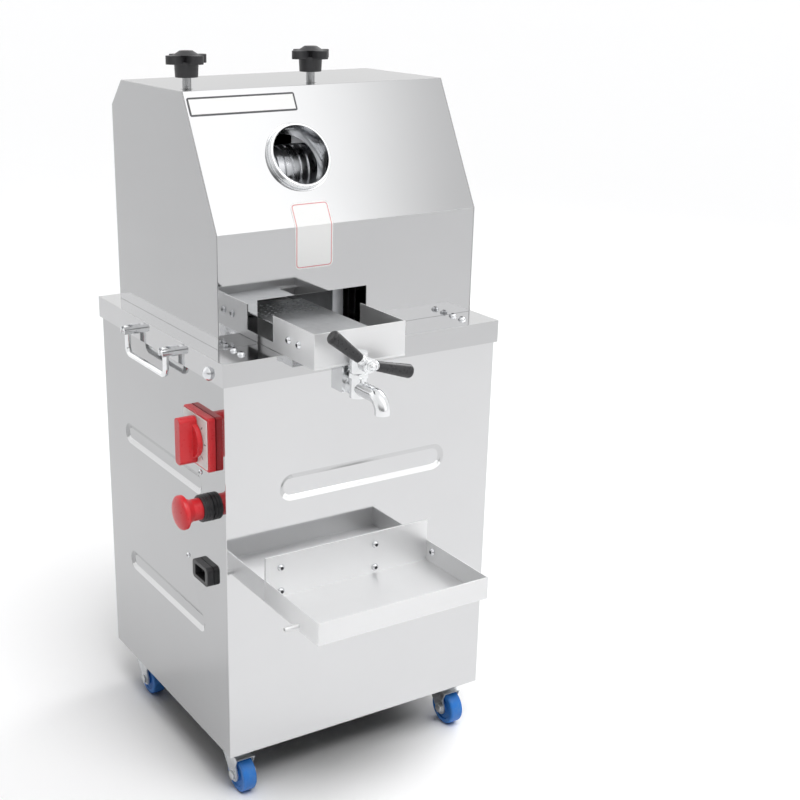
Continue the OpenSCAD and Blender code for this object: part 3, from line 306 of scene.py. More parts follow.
class Finish:
    """A node tree that starts with one Principled shader and Object coordinates."""

    def __init__(self, name, colour, roughness, metallic=0.0):
        self.material = bpy.data.materials.new(name)
        self.material.use_nodes = True
        self.tree = self.material.node_tree
        self.shader = self.tree.nodes["Principled BSDF"]
        self.shader.inputs["Base Color"].default_value = (*colour, 1)
        self.shader.inputs["Metallic"].default_value = metallic
        self.shader.inputs["Roughness"].default_value = roughness
        self.place = self.tree.nodes.new("ShaderNodeTexCoord").outputs["Object"]

    def node(self, kind, **values):
        """Adds a node of a kind, with its settings."""
        made = self.tree.nodes.new(kind)
        for key, value in values.items():
            setattr(made, key, value)
        return made

    def link(self, start, end):
        """Links an output to an input."""
        self.tree.links.new(start, end)

    def stretched(self, scale):
        """Object coordinates stretched by a Mapping node."""
        mapping = self.node("ShaderNodeMapping")
        mapping.inputs["Scale"].default_value = scale
        self.link(self.place, mapping.inputs["Vector"])
        return mapping.outputs["Vector"]

    def noise(self, scale, detail=3.0, rough=0.5, vector=None):
        """A noise value on Object coordinates, or on a vector."""
        made = self.node("ShaderNodeTexNoise")
        made.inputs["Scale"].default_value = scale
        made.inputs["Detail"].default_value = detail
        made.inputs["Roughness"].default_value = rough
        self.link(vector or self.place, made.inputs["Vector"])
        return made.outputs["Fac"]

    def spread(self, value, low, high, start=0.3, stop=0.7):
        """Maps a value from start..stop to low..high."""
        made = self.node("ShaderNodeMapRange")
        made.inputs["From Min"].default_value = start
        made.inputs["From Max"].default_value = stop
        made.inputs["To Min"].default_value = low
        made.inputs["To Max"].default_value = high
        self.link(value, made.inputs["Value"])
        return made.outputs["Result"]

    def tones(self, value, first, second):
        """Mixes two colours by a value."""
        made = self.node("ShaderNodeMix", data_type="RGBA")
        for socket in made.inputs:
            if socket.type == "RGBA" and socket.name == "A":
                socket.default_value = (*first, 1)
            if socket.type == "RGBA" and socket.name == "B":
                socket.default_value = (*second, 1)
        self.link(value, made.inputs["Factor"])
        return next(s for s in made.outputs if s.type == "RGBA")

    def colour(self, output):
        """Links an output to the shader's colour."""
        self.link(output, self.shader.inputs["Base Color"])

    def roughness(self, output):
        """Links an output to the shader's roughness."""
        self.link(output, self.shader.inputs["Roughness"])

    def bumps(self, *layers):
        """Chains bump layers, each (height, strength, distance), into the normal."""
        normal = None
        for height, strength, distance in layers:
            bump = self.node("ShaderNodeBump")
            bump.inputs["Strength"].default_value = strength
            bump.inputs["Distance"].default_value = distance
            self.link(height, bump.inputs["Height"])
            if normal:
                self.link(normal, bump.inputs["Normal"])
            normal = bump.outputs["Normal"]
        self.link(normal, self.shader.inputs["Normal"])

    def total(self, first, second):
        """Adds two values."""
        made = self.node("ShaderNodeMath", operation="ADD")
        self.link(first, made.inputs[0])
        self.link(second, made.inputs[1])
        return made.outputs[0]


def polished_sheet(name, grain, tint, rough=0.03):
    """Polished stainless sheet with faint polishing lines, smudges and a slight waviness."""
    finish = Finish(name, tint, roughness=rough, metallic=1.0)
    lines = finish.noise(1.0, 4.0, 0.6, finish.stretched(grain))
    smudge = finish.noise(7.0, 5.0, 0.62)
    cloud = finish.noise(2.3, 2.0)
    darker = tuple(0.96 * c for c in tint)
    finish.colour(finish.tones(finish.spread(smudge, 0.0, 0.6), tint, darker))
    smudged = finish.spread(smudge, rough, rough + 0.03)
    finish.roughness(finish.total(smudged, finish.spread(lines, 0.0, 0.02)))
    finish.bumps((cloud, 0.02, 0.002), (lines, 0.01, 0.0002))
    return finish.material


def bright_metal(name, tint, rough, grain=(400, 400, 40)):
    """Plated or turned bright metal with fine lines and handling marks."""
    finish = Finish(name, tint, roughness=rough, metallic=1.0)
    lines = finish.noise(1.0, 3.0, 0.6, finish.stretched(grain))
    marks = finish.noise(60.0, 4.0, 0.6)
    finish.colour(finish.tones(finish.spread(marks, 0.0, 0.7), tint, tuple(0.82 * c for c in tint)))
    handled = finish.spread(marks, rough, rough + 0.12)
    finish.roughness(finish.total(handled, finish.spread(lines, 0.0, 0.06)))
    finish.bumps((lines, 0.05, 0.0004))
    return finish.material


def moulded_plastic(name, tint, rough, grain=900.0, wear=1.6):
    """Moulded plastic with a fine grain, a slow change of tone and lighter handling marks."""
    finish = Finish(name, tint, roughness=rough)
    tone = finish.noise(35.0, 3.0)
    skin = finish.noise(grain, 2.0)
    scuff = finish.noise(240.0, 5.0, 0.7)
    worn = tuple(min(1.0, wear * c + 0.01) for c in tint)
    slow = finish.spread(tone, 0.0, 0.35)
    scuffed = finish.spread(scuff, 0.0, 0.35, 0.62, 0.8)
    finish.colour(finish.tones(finish.total(slow, scuffed), tint, worn))
    finish.roughness(finish.spread(scuff, rough - 0.06, rough + 0.12))
    finish.bumps((skin, 0.12, 0.0002), (tone, 0.05, 0.0008))
    return finish.material


def painted_casting(name, tint, rough=0.5):
    """Painted rough casting."""
    finish = Finish(name, tint, roughness=rough)
    sand = finish.noise(420.0, 3.0)
    dust = finish.noise(18.0, 4.0, 0.6)
    finish.colour(finish.tones(finish.spread(dust, 0.0, 0.8), tint, tuple(0.7 * c + 0.02 for c in tint)))
    finish.roughness(finish.spread(dust, rough - 0.1, rough + 0.15))
    finish.bumps((sand, 0.35, 0.0005))
    return finish.material


def dusty_tread(name, tint, dusted):
    """Polyurethane tread, dusty where it rolls."""
    finish = Finish(name, tint, roughness=0.42)
    dust = finish.noise(90.0, 5.0, 0.65)
    skin = finish.noise(700.0, 2.0)
    finish.colour(finish.tones(finish.spread(dust, 0.0, 0.55, 0.45, 0.75), tint, dusted))
    finish.roughness(finish.spread(dust, 0.34, 0.6))
    finish.bumps((skin, 0.15, 0.0003))
    return finish.material


# Polishing lines per metre along X, Y and Z: upright ones and ones from side to side

GRAIN_UPRIGHT = (900, 900, 14)
GRAIN_ACROSS = (14, 900, 900)

# Finishes of this machine

# The polished sheets are copies of one stainless steel in different tints: the front sheet is lighter as
# painted light, and the side, hood and cover sheets are darker as painted shade.
FRONT_SHEET_LIT = polished_sheet("front_sheet_polished_painted_light", GRAIN_UPRIGHT, (0.63, 0.632, 0.638))
SIDE_SHEET_SHADED = polished_sheet("side_sheet_polished_painted_shade", GRAIN_UPRIGHT, (0.43, 0.432, 0.437))
HOOD_SHEET_SHADED = polished_sheet("hood_sheet_polished_painted_shade", GRAIN_UPRIGHT, (0.51, 0.512, 0.518))
COVER_SHEET_SHADED = polished_sheet("cover_sheet_polished_painted_shade", GRAIN_ACROSS, (0.52, 0.522, 0.528))
# The ledge's lighter tint is painted light on the top cover's upper face.
LEDGE_SHEET_LIT = polished_sheet("ledge_sheet_polished_painted_light", GRAIN_ACROSS, (0.78, 0.782, 0.786), 0.1)
TRAY_SHEET = polished_sheet("tray_sheet_satin", GRAIN_ACROSS, (0.75, 0.752, 0.756), 0.42)
# The beads' walls are tinted darker as painted shade, and their lower lips lighter as a painted highlight.
FRONT_BEAD_SHADED = polished_sheet("front_bead_satin_painted_shade", GRAIN_UPRIGHT, (0.56, 0.562, 0.568), 0.2)
FRONT_BEAD_LIP_LIT = polished_sheet("front_bead_lip_painted_highlight", GRAIN_UPRIGHT, (0.93, 0.932, 0.936), 0.12)
SIDE_BEAD_SHADED = polished_sheet("side_bead_satin_painted_shade", GRAIN_UPRIGHT, (0.34, 0.342, 0.346), 0.2)
SIDE_BEAD_LIP_LIT = polished_sheet("side_bead_lip_painted_highlight", GRAIN_UPRIGHT, (0.64, 0.642, 0.646), 0.12)
STRAINER_STEEL = bright_metal("strainer_satin", (0.56, 0.57, 0.58), 0.3, (30, 900, 900))
CHROME = bright_metal("bright_chrome", (0.84, 0.85, 0.86), 0.05)
BOLT_STEEL = bright_metal("bolt_bright_steel", (0.74, 0.75, 0.77), 0.12)
SCREW_STEEL = bright_metal("press_screw_steel", (0.34, 0.345, 0.35), 0.22, (40, 40, 900))
SOCKET_SHADE = bright_metal("bolt_socket_shade", (0.12, 0.12, 0.125), 0.4)
ZINC = bright_metal("zinc_plate", (0.62, 0.635, 0.65), 0.26, (120, 120, 120))
ROLLER_STEEL = bright_metal("turned_roller_steel", (0.66, 0.67, 0.69), 0.2, (900, 20, 20))
PLATE_STEEL = bright_metal("ground_mill_plate", (0.5, 0.51, 0.53), 0.3, (40, 40, 900))
OILED_STEEL = bright_metal("oiled_gear_steel", (0.22, 0.22, 0.23), 0.3)
BRONZE = bright_metal("bearing_bronze", (0.62, 0.44, 0.2), 0.25)
KNOB_BLACK = moulded_plastic("knob_black", (0.018, 0.018, 0.02), 0.42)
GRIP_BLACK = moulded_plastic("grip_black", (0.014, 0.014, 0.016), 0.28, 1400.0)
SOCKET_BLACK = moulded_plastic("socket_black", (0.02, 0.02, 0.022), 0.36)
SIGNAL_RED = moulded_plastic("signal_red", (0.66, 0.022, 0.03), 0.3, 1100.0, 1.12)
DIAL_WHITE = moulded_plastic("dial_white", (0.8, 0.8, 0.78), 0.4, 1000.0, 1.02)
MARK_DARK = moulded_plastic("dial_mark_dark", (0.05, 0.05, 0.055), 0.5)
GEARBOX_PAINT = painted_casting("gearbox_paint", (0.11, 0.12, 0.13))
MOTOR_PAINT = painted_casting("motor_paint", (0.16, 0.19, 0.24))
TREAD_BLUE = dusty_tread("tread_blue", (0.012, 0.17, 0.58), (0.09, 0.24, 0.5))
LABEL_WHITE = moulded_plastic("label_white", (0.94, 0.94, 0.93), 0.35, 1600.0, 1.0)
LABEL_LINE_DARK = moulded_plastic("label_line_dark", (0.06, 0.06, 0.065), 0.4)
LABEL_LINE_RED = moulded_plastic("label_line_red", (0.72, 0.3, 0.31), 0.4, 1200.0, 1.1)
# The bottom plate's black is painted shade under the cabinet.
UNDERSIDE_SHADE_BLACK = painted_casting("underside_black_painted_shade", (0.012, 0.012, 0.013), 0.6)


# CAD nodes that keep their shape, with their finish

PLAIN_NODES = {
    "bottom_plate": UNDERSIDE_SHADE_BLACK, "corner_posts": ZINC,
    "gearbox": GEARBOX_PAINT, "drive_motor": MOTOR_PAINT,
    "mill_tie_bars": ROLLER_STEEL, "roller_bearings": BRONZE, "drive_chain": OILED_STEEL,
    "top_gear": OILED_STEEL, "front_gear": OILED_STEEL, "rear_gear": OILED_STEEL,
    "driven_sprocket": OILED_STEEL, "drive_sprocket": OILED_STEEL, "caster_plates": ZINC,
    "trash_plate": PLATE_STEEL, "juice_chute": COVER_SHEET_SHADED, "drawer_guide": COVER_SHEET_SHADED,
    "press_screw_left": SCREW_STEEL, "press_screw_right": SCREW_STEEL, "strainer": STRAINER_STEEL,
    "top_roller": ROLLER_STEEL, "front_roller": ROLLER_STEEL, "rear_roller": ROLLER_STEEL,
}

# CAD nodes shown by a copy with rounded edges: radius in mm and finish

ROUNDED_NODES = {
    "front_panel": (0.5, FRONT_SHEET_LIT), "left_panel": (0.5, SIDE_SHEET_SHADED), "right_panel": (0.5, SIDE_SHEET_SHADED),
    "rear_panel": (0.5, SIDE_SHEET_SHADED), "top_cover": (0.7, COVER_SHEET_SHADED),
    "hood_wrap": (0.7, HOOD_SHEET_SHADED),
    "hood_left_side": (0.6, SIDE_SHEET_SHADED), "hood_right_side": (0.6, SIDE_SHEET_SHADED),
    "drip_tray": (0.5, TRAY_SHEET), "juice_drawer": (0.5, TRAY_SHEET),
    "handle_lugs": (0.7, CHROME), "left_handle": (0.4, CHROME), "right_handle": (0.4, CHROME),
    "tap_body": (0.8, CHROME), "tap_handle": (0.8, CHROME), "tap_grips": (0.8, GRIP_BLACK),
    "knob_left": (1.6, KNOB_BLACK), "knob_right": (1.6, KNOB_BLACK),
    "switch_base": (1.2, SIGNAL_RED), "switch_faceplate": (0.4, DIAL_WHITE),
    "switch_knob": (1.6, SIGNAL_RED), "estop_base": (0.8, KNOB_BLACK),
    "estop_button": (1.0, SIGNAL_RED), "power_inlet": (0.8, SOCKET_BLACK),
    "mill_plate_left": (0.8, PLATE_STEEL), "mill_plate_right": (0.8, PLATE_STEEL),
}
for corner in CORNERS:
    ROUNDED_NODES["caster_fork_" + corner] = (0.7, ZINC)
    ROUNDED_NODES["caster_wheel_" + corner] = (0.6, TREAD_BLUE)


# Panels with pressed beads: the axis across the panel, and the finishes of a bead's walls, darker as
# painted shade, and of its lower lip, lighter as a painted highlight

BEADED_PANELS = {
    "front_panel": (1, FRONT_BEAD_SHADED, FRONT_BEAD_LIP_LIT),
    "left_panel": (0, SIDE_BEAD_SHADED, SIDE_BEAD_LIP_LIT),
    "right_panel": (0, SIDE_BEAD_SHADED, SIDE_BEAD_LIP_LIT),
}
BEAD_CLEAR = 12 * MM

# Parts of a face's normal: the most that a bead's wall has, the least of a lower lip and of a level face

WALL_NORMAL = 0.985
LIP_NORMAL = 0.25
LEVEL_NORMAL = 0.9


def paint_bead_shade_and_highlight(piece, node, across, wall, lip):
    """Gives a bead's sloped walls a duller finish, rougher and darker as painted shade, and its lower lip a
    brighter one, as a painted highlight.
    """
    low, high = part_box(node)
    flat = [i for i in range(3) if i != across]

    def on_bead(centre, normal):
        """Holds for the faces of a bead's sloped walls."""
        inside = all(low[i] + BEAD_CLEAR < centre[i] < high[i] - BEAD_CLEAR for i in flat)
        return inside and max(abs(part) for part in normal) < WALL_NORMAL

    piece.data.materials.append(wall)
    piece.data.materials.append(lip)
    select_faces(piece, on_bead)
    assign(piece, 1)
    select_faces(piece, lambda centre, normal: on_bead(centre, normal) and normal.z > LIP_NORMAL)
    assign(piece, 2)
    deselect()


def paint_ledge_light(piece):
    """Gives the upper face of the top cover a brighter finish than its skirt, whose lighter tint is painted
    light.
    """
    piece.data.materials.append(LEDGE_SHEET_LIT)
    select_faces(piece, lambda centre, normal: normal.z > LEVEL_NORMAL)
    assign(piece, 1)
    deselect()


def dress_nodes():
    """Gives every CAD node its finish, on the node itself or on its copy with rounded edges."""
    for node, finish in PLAIN_NODES.items():
        mesh = frame["nodes"][node].data
        mesh.materials.clear()
        mesh.materials.append(finish)
    for node, (radius, finish) in ROUNDED_NODES.items():
        piece = rounded_copy(node, radius * MM, finish)
        if node in BEADED_PANELS:
            paint_bead_shade_and_highlight(piece, node, *BEADED_PANELS[node])
        if node == "top_cover":
            paint_ledge_light(piece)


# Fittings that the CAD solids leave plain

# Pressed rings on the feed tube, in mm: where the first starts and how far apart they are

RING_FROM = 2.2
RING_STEP = 1.9


def feed_tube_rings():
    """Feed tube with a flange, three pressed rings and a rolled lip, in place of the plain tube."""
    profile = [(38, -22), (41, -22), (41, 0), (44, 0), (44, 1.2), (43.6, 1.5), (41.4, 1.5)]
    for ring in range(3):
        foot = RING_FROM + RING_STEP * ring
        profile += [(41, foot), (41.8, foot + 0.5), (41.8, foot + 1.1), (41, foot + 1.6)]
    profile += [(41.3, 8.2), (41.1, 8.8), (40.4, 9), (38.8, 9), (38.2, 8.7), (38, 8.1), (38, -22)]
    piece = stand(turned(profile, 72), FEED_MIDDLE, SLOPE_OUT)
    name_piece(piece, "feed_tube_rings", CHROME, CABINET, 30)
    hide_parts("feed_tube")


# Bolt sizes in mm: head radius, head height, shank radius, and whether the head has a socket

SMALL_BOLT = (3.6, 2.4, 2, True)
MIDDLE_BOLT = (5, 4, 2.5, True)
LARGE_BOLT = (9, 7.5, 4, False)
BOLT_SIZES = (SMALL_BOLT, MIDDLE_BOLT, LARGE_BOLT)

# Socket in a bolt's head, as shares of the head: its radius and depth, and the rim that is shaded with it

SOCKET_SHARE = 0.45
SOCKET_RIM = 0.46

# Bolt in the tray's wall, in mm from the tray's rear edge and underside

TRAY_BOLT_IN = 15
TRAY_BOLT_UP = 17.5


def socket_bolt(head, height, shank, socket, grip):
    """Round headed bolt on z = 0, with a hexagon socket or without."""
    profile = [(0, -grip), (shank, -grip), (shank, 0), (head * 0.97, 0), (head, 0.12 * height)]
    for turn in range(20, 90, 14):
        profile.append((head * math.cos(math.radians(turn)), height * math.sin(math.radians(turn))))
    profile.append((0, height))
    bolt = turned(profile, 24)
    if socket:
        cutter = hexagon(SOCKET_SHARE * head, height, 0.05)
        cutter.location.z = SOCKET_SHARE * height * MM
        settle(cutter)
        cut = bolt.modifiers.new("socket", "BOOLEAN")
        cut.operation = "DIFFERENCE"
        cut.object = cutter
        bolt.data.materials.append(BOLT_STEEL)
        bolt.data.materials.append(SOCKET_SHADE)
        apply_modifiers(bolt)
        pick(cutter)
        bpy.ops.object.delete()
        reach = SOCKET_RIM * head * MM
        select_faces(bolt, lambda centre, normal: centre.z > 0 and math.hypot(centre.x, centre.y) < reach)
        assign(bolt, 1)
        bpy.ops.object.mode_set(mode="OBJECT")
    else:
        bolt.data.materials.append(BOLT_STEEL)
    return bolt


def bolt_like(low, high):
    """A bolt in the place of a plain one: its axis is the one whose span differs from the other two."""
    size = high - low
    axis = max(range(3), key=lambda i: min(abs(size[i] - size[j]) for j in range(3) if j != i))
    place = (low + high) / 2
    facing = Vector((0, 0, 0))
    facing[axis] = (math.copysign(1, place.x), -1, 1)[axis]
    head = size[(axis + 1) % 3] / 2 / MM
    sizes = min(BOLT_SIZES, key=lambda row: abs(row[0] - head))
    height = sizes[1]
    grip = size[axis] / MM - height
    place += facing * (size[axis] / 2 - height * MM)
    return stand(socket_bolt(*sizes, grip), place, facing)


def bolts_of(node, body):
    """Bolts with sockets in place of a CAD node's plain ones."""
    piece = joined([bolt_like(low, high) for low, high in islands(node)])
    name_piece(piece, node + "_sockets", None, body, 35)
    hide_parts(node)


def tray_wall_bolt():
    """Bolt on the inner side of the drip tray's right wall."""
    low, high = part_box("drip_tray")
    place = Vector((high.x - SHEET, high.y - TRAY_BOLT_IN * MM, low.z + TRAY_BOLT_UP * MM))
    piece = stand(socket_bolt(*MIDDLE_BOLT, 1), place, (-1, 0, 0))
    name_piece(piece, "tray_wall_bolt", None, CABINET, 35)


# Labels in mm: their film, how far they stand off the hood, their sizes and their places

LABEL_FILM = 0.25
LABEL_LIFT = 0.05
LONG_LABEL_WIDTH = 148
LONG_LABEL_HEIGHT = 24
LONG_LABEL_INSET = 2.5
LONG_LABEL_UP_SLOPE = 148
SMALL_LABEL_WIDTH = 54
SMALL_LABEL_LEFT = 28
SMALL_LABEL_BELOW_BEND = 53
SMALL_LABEL_ABOVE_BEND = 30


def label_film(name, corner_from, width, runs, line_finish, corner, margin, line):
    """Blank white film pulled up over the hood from its lower edge, with a plain border; sizes in mm."""
    low = Vector(corner_from)
    piece = drawn([low, low + Vector((width, 0, 0))])
    piece.data.materials.append(LABEL_WHITE)
    piece.data.materials.append(line_finish)
    bpy.ops.mesh.select_mode(type="EDGE")
    for run in runs:
        bpy.ops.mesh.extrude_region_move(TRANSFORM_OT_translate={"value": run * MM})
    bpy.ops.object.mode_set(mode="OBJECT")
    mesh = piece.data
    for vertex in mesh.vertices:
        vertex.select = sum(vertex.index in face.vertices for face in mesh.polygons) == 1
    bpy.ops.object.mode_set(mode="EDIT")
    bpy.ops.mesh.select_mode(type="VERT")
    bpy.ops.mesh.bevel(offset=corner * MM, segments=5, affect="VERTICES")
    select_faces(piece, lambda centre, normal: True)
    if piece.data.polygons[0].normal.dot(SLOPE_OUT) < 0:
        bpy.ops.mesh.flip_normals()
    if margin:
        bpy.ops.mesh.inset(thickness=margin * MM)
    assign(piece, 1)
    bpy.ops.mesh.inset(thickness=line * MM)
    assign(piece, 0)
    bpy.ops.object.mode_set(mode="OBJECT")
    film = piece.modifiers.new("film", "SOLIDIFY")
    film.thickness = LABEL_FILM * MM
    film.offset = 1
    apply_modifiers(piece)
    name_piece(piece, name, None, CABINET, 0)


def hood_labels():
    """Two blank labels: a long one near the top of the slope and a small one across the bend."""
    long_from = Vector((HOOD_LOW.x + LONG_LABEL_INSET * MM, HOOD_FRONT_Y, BEND_Z))
    long_from += LONG_LABEL_UP_SLOPE * MM * SLOPE_UP
    long_from += LABEL_LIFT * MM * SLOPE_OUT
    long_runs = [LONG_LABEL_HEIGHT * SLOPE_UP]
    label_film("label_long", long_from / MM, LONG_LABEL_WIDTH, long_runs, LABEL_LINE_DARK,
               corner=2.6, margin=0, line=2.4)
    small_from = Vector((FEED_X - SMALL_LABEL_LEFT * MM, HOOD_FRONT_Y - LABEL_LIFT * MM,
                         BEND_Z - SMALL_LABEL_BELOW_BEND * MM))
    small_runs = [Vector((0, 0, SMALL_LABEL_BELOW_BEND)), SMALL_LABEL_ABOVE_BEND * SLOPE_UP]
    label_film("label_small", small_from / MM, SMALL_LABEL_WIDTH, small_runs, LABEL_LINE_RED,
               corner=6, margin=1.6, line=1.2)


# Ridges on the stop button's collar, in mm: where the first starts and how far apart they are

RIDGE_FROM = 4.8
RIDGE_STEP = 4


def stop_collar_ridges():
    """Ridged sleeve on the stop button's collar."""
    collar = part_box("estop_base")
    profile = [(16.2, 0.3), (17.5, 0.3), (17.8, 0.7), (17.8, 3.6), (17, 4.2)]
    for ridge in range(2):
        foot = RIDGE_FROM + RIDGE_STEP * ridge
        profile += [(17, foot), (17.6, foot + 0.5), (17.6, foot + 2.9), (17, foot + 3.4)]
    profile += [(16.9, 12.7), (16.2, 12.7), (16.2, 0.3)]
    place = Vector((PANEL_LEFT_X, (collar[0].y + collar[1].y) / 2, (collar[0].z + collar[1].z) / 2))
    piece = stand(turned(profile, 48), place, (-1, 0, 0))
    name_piece(piece, "stop_collar_ridges", SOCKET_BLACK, CABINET, 30)


# Marks round the switch's knob, in mm from its axis and from the faceplate

MARK_COUNT = 8
MARK_FROM = 25
MARK_TO = 29.5
MARK_HALF = 0.6
MARK_PROUD = 0.25
MARK_SUNK = 0.1


def dial_marks():
    """Plain marks round the switch's knob."""
    low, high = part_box("switch_faceplate")
    middle = Vector((low.x, (low.y + high.y) / 2, (low.z + high.z) / 2))
    mark_low = Vector((-MARK_PROUD, -MARK_HALF, MARK_FROM)) * MM
    mark_high = Vector((MARK_SUNK, MARK_HALF, MARK_TO)) * MM
    marks = []
    for turn in range(MARK_COUNT):
        mark = block(mark_low, mark_high, 0.1)
        mark.rotation_euler.x = turn * 2 * math.pi / MARK_COUNT
        mark.location = middle
        settle(mark)
        marks.append(mark)
    name_piece(joined(marks), "dial_marks", MARK_DARK, CABINET, 40)


# Tap: slope of the handle's two arms in degrees; hub, grips, barrel and bonnet nut in mm

TAP_ARMS = (-16, 140)
TAP_HUB_HALF = 6.5
TAP_GRIP_FROM = 14
TAP_BARREL_OUT = 13.5
TAP_BONNET_DOWN = 19.5
TAP_WASHER = 1.2

# Ball ferrules of the tap in mm: bore, rim, middle along the arm, half length, bulge and what it stands on

FERRULE_BORE = 4.6
FERRULE_RIM = 5
FERRULE_MIDDLE = 10.2
FERRULE_HALF = 4.2
FERRULE_BULGE = 4.8
FERRULE_CORE = 1.6


def tap_ferrules():
    """Bright ball ferrules between the tap's hub and its grips."""
    hub = joint_place("tap_turn")
    profile = [(FERRULE_BORE, TAP_HUB_HALF), (FERRULE_RIM, TAP_HUB_HALF)]
    for turn in range(-60, 61, 15):
        angle = math.radians(turn)
        radius = FERRULE_CORE + FERRULE_BULGE * math.cos(angle)
        profile.append((radius, FERRULE_MIDDLE + FERRULE_HALF * math.sin(angle)))
    profile += [(FERRULE_BORE, TAP_GRIP_FROM), (FERRULE_BORE, TAP_HUB_HALF)]
    pieces = []
    for slope in TAP_ARMS:
        along = Vector((math.cos(math.radians(slope)), 0, math.sin(math.radians(slope))))
        pieces.append(stand(turned(profile, 32), hub, along))
    name_piece(joined(pieces), "tap_ferrules", CHROME, "tap_lever", 50)


def tap_nuts():
    """Cap nut in front of the tap's hub, and the bonnet nut on the barrel under it."""
    hub = joint_place("tap_turn")
    washer = turned([(0, 0), (7.4, 0), (7.4, 0.9), (6.9, TAP_WASHER), (0, TAP_WASHER)], 32)
    nut = hexagon(6.4, 3.6, 0.5)
    nut.location.z = TAP_WASHER * MM
    settle(nut)
    dome = turned([(0, 4), (4.9, 4), (4.9, 5), (4.4, 6.6), (3, 7.9), (1.4, 8.5), (0, 8.6)], 32)
    cap = stand(joined([washer, nut, dome]), hub + Vector((0, -TAP_HUB_HALF * MM, 0)), (0, -1, 0))
    name_piece(cap, "tap_cap_nut", CHROME, "tap_lever", 35)
    barrel_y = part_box("juice_drawer")[0].y - TAP_BARREL_OUT * MM
    bonnet = hexagon(13, 6, 0.7)
    bonnet.rotation_euler.z = math.pi / 6
    bonnet.location = (hub.x, barrel_y, hub.z - TAP_BONNET_DOWN * MM)
    settle(bonnet)
    name_piece(bonnet, "tap_bonnet_nut", CHROME, "juice_drawer", 35)


# Hem of the drawer in mm: how far it stands out, how far it is let in and how high it is

HEM_PROUD = 1.2
HEM_SUNK = 0.3
HEM_HEIGHT = 2.2


def drawer_hem():
    """Folded hem along the lower front edge of the drawer."""
    low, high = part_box("juice_drawer")
    hem_low = (low.x, low.y - HEM_PROUD * MM, low.z)
    hem_high = (high.x, low.y + HEM_SUNK * MM, low.z + HEM_HEIGHT * MM)
    piece = block(hem_low, hem_high, 0.5, 3)
    name_piece(piece, "drawer_hem", TRAY_SHEET, "juice_drawer", 40)


# Caster hood: a channel over the wheel, with sizes in mm from the axle, and its start and sweep in degrees

CASTER_HALF = 13.8
CASTER_WALL = 2
CASTER_HOOD_R = 28.8
CASTER_FLANK_R = 12
CASTER_HOOD_START = -22
CASTER_HOOD_SWEEP = 70
CASTER_NUT_SUNK = 0.2


def caster_hood(corner, axle):
    """Pressed channel over a caster's wheel, between the fork's cheeks."""
    inner = CASTER_HALF - CASTER_WALL
    under = CASTER_HOOD_R - CASTER_WALL
    half = [(CASTER_HALF, CASTER_FLANK_R), (CASTER_HALF, CASTER_HOOD_R)]
    outline = half + [(-x, r) for x, r in reversed(half)]
    outline += [(-inner, CASTER_FLANK_R), (-inner, under), (inner, under), (inner, CASTER_FLANK_R)]
    piece = drawn([(x, 0, r) for x, r in outline])
    bpy.ops.mesh.edge_face_add()
    bpy.ops.mesh.delete(type="ONLY_FACE")
    bpy.ops.mesh.select_all(action="SELECT")
    start = math.radians(CASTER_HOOD_START)
    sweep = math.radians(CASTER_HOOD_SWEEP)
    bpy.ops.transform.rotate(value=start, orient_axis="X", center_override=(0, 0, 0))
    bpy.ops.mesh.spin(steps=14, angle=sweep, center=(0, 0, 0), axis=(1, 0, 0))
    bpy.ops.mesh.select_all(action="SELECT")
    bpy.ops.mesh.fill_holes(sides=0)
    bpy.ops.mesh.select_all(action="SELECT")
    bpy.ops.mesh.normals_make_consistent(inside=False)
    bpy.ops.object.mode_set(mode="OBJECT")
    piece.location = axle
    settle(piece)
    edge = piece.modifiers.new("edge_round", "BEVEL")
    edge.width = 0.5 * MM
    edge.segments = 2
    edge.angle_limit = math.radians(40)
    apply_modifiers(piece)
    name_piece(piece, "caster_hood_" + corner, ZINC, "caster_fork_" + corner, 40)


def caster_nuts(corner, axle):
    """A nut with its washer on each end of a caster's axle."""
    pieces = []
    for side in (-1, 1):
        washer = turned([(0, 0), (8.2, 0), (8.2, 0.7), (7.9, 1), (0, 1)], 32)
        nut = hexagon(7, 3.2, 0.6)
        nut.location.z = 0.9 * MM
        settle(nut)
        outer = axle + Vector((side * (CASTER_HALF - CASTER_NUT_SUNK) * MM, 0, 0))
        pieces.append(stand(joined([washer, nut]), outer, (side, 0, 0)))
    name_piece(joined(pieces), "caster_nuts_" + corner, ZINC, "caster_fork_" + corner, 35)


def add_fittings():
    """Models every fitting, each caster's own ones last."""
    feed_tube_rings()
    bolts_of("cabinet_bolts", CABINET)
    bolts_of("drawer_bolts", "juice_drawer")
    tray_wall_bolt()
    hood_labels()
    stop_collar_ridges()
    dial_marks()
    tap_ferrules()
    tap_nuts()
    drawer_hem()
    for corner in CORNERS:
        wheel_low, wheel_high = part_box("caster_wheel_" + corner)
        axle = (wheel_low + wheel_high) / 2
        caster_hood(corner, axle)
        caster_nuts(corner, axle)


# Stage, light and camera

FLOOR_SIZE = 120
FLOOR_DROP = 0.0005

# Parts of the world: aim, cosines from it where the part starts and is full, strength outside and inside

BRIGHT_FIELD = ((0.30, -0.66, 0.69), math.cos(math.radians(19.5)), math.cos(math.radians(10)), 1.0, 2.0)
FRONT_GLOW = ((0.45, -0.83, 0.33), 0.93, 0.985, 1.0, 1.4)
REAR_DIM = ((0.43, 0.88, 0.2), 0.9, 0.985, 1.0, 0.85)
SIDE_GLOW = ((-0.45, 0.8, 0.42), 0.8, 0.97, 1.0, 1.5)
FLAG_SIDE = ((-0.65, -0.76, 0), 0.6, 0.9, 0, 1)
FLAG_HEIGHT = ((0, 0, 1), 0.12, 0.5, 1, 0)
FLAG_DEPTH = 0.7
FILL_ABOVE = ((0, 0, 1), 0.45, 0.97, 0.02, 0.75)
FILL_FRONT = ((0, -0.407, 0.914), 0.9135, 0.985, 0, 7.4)

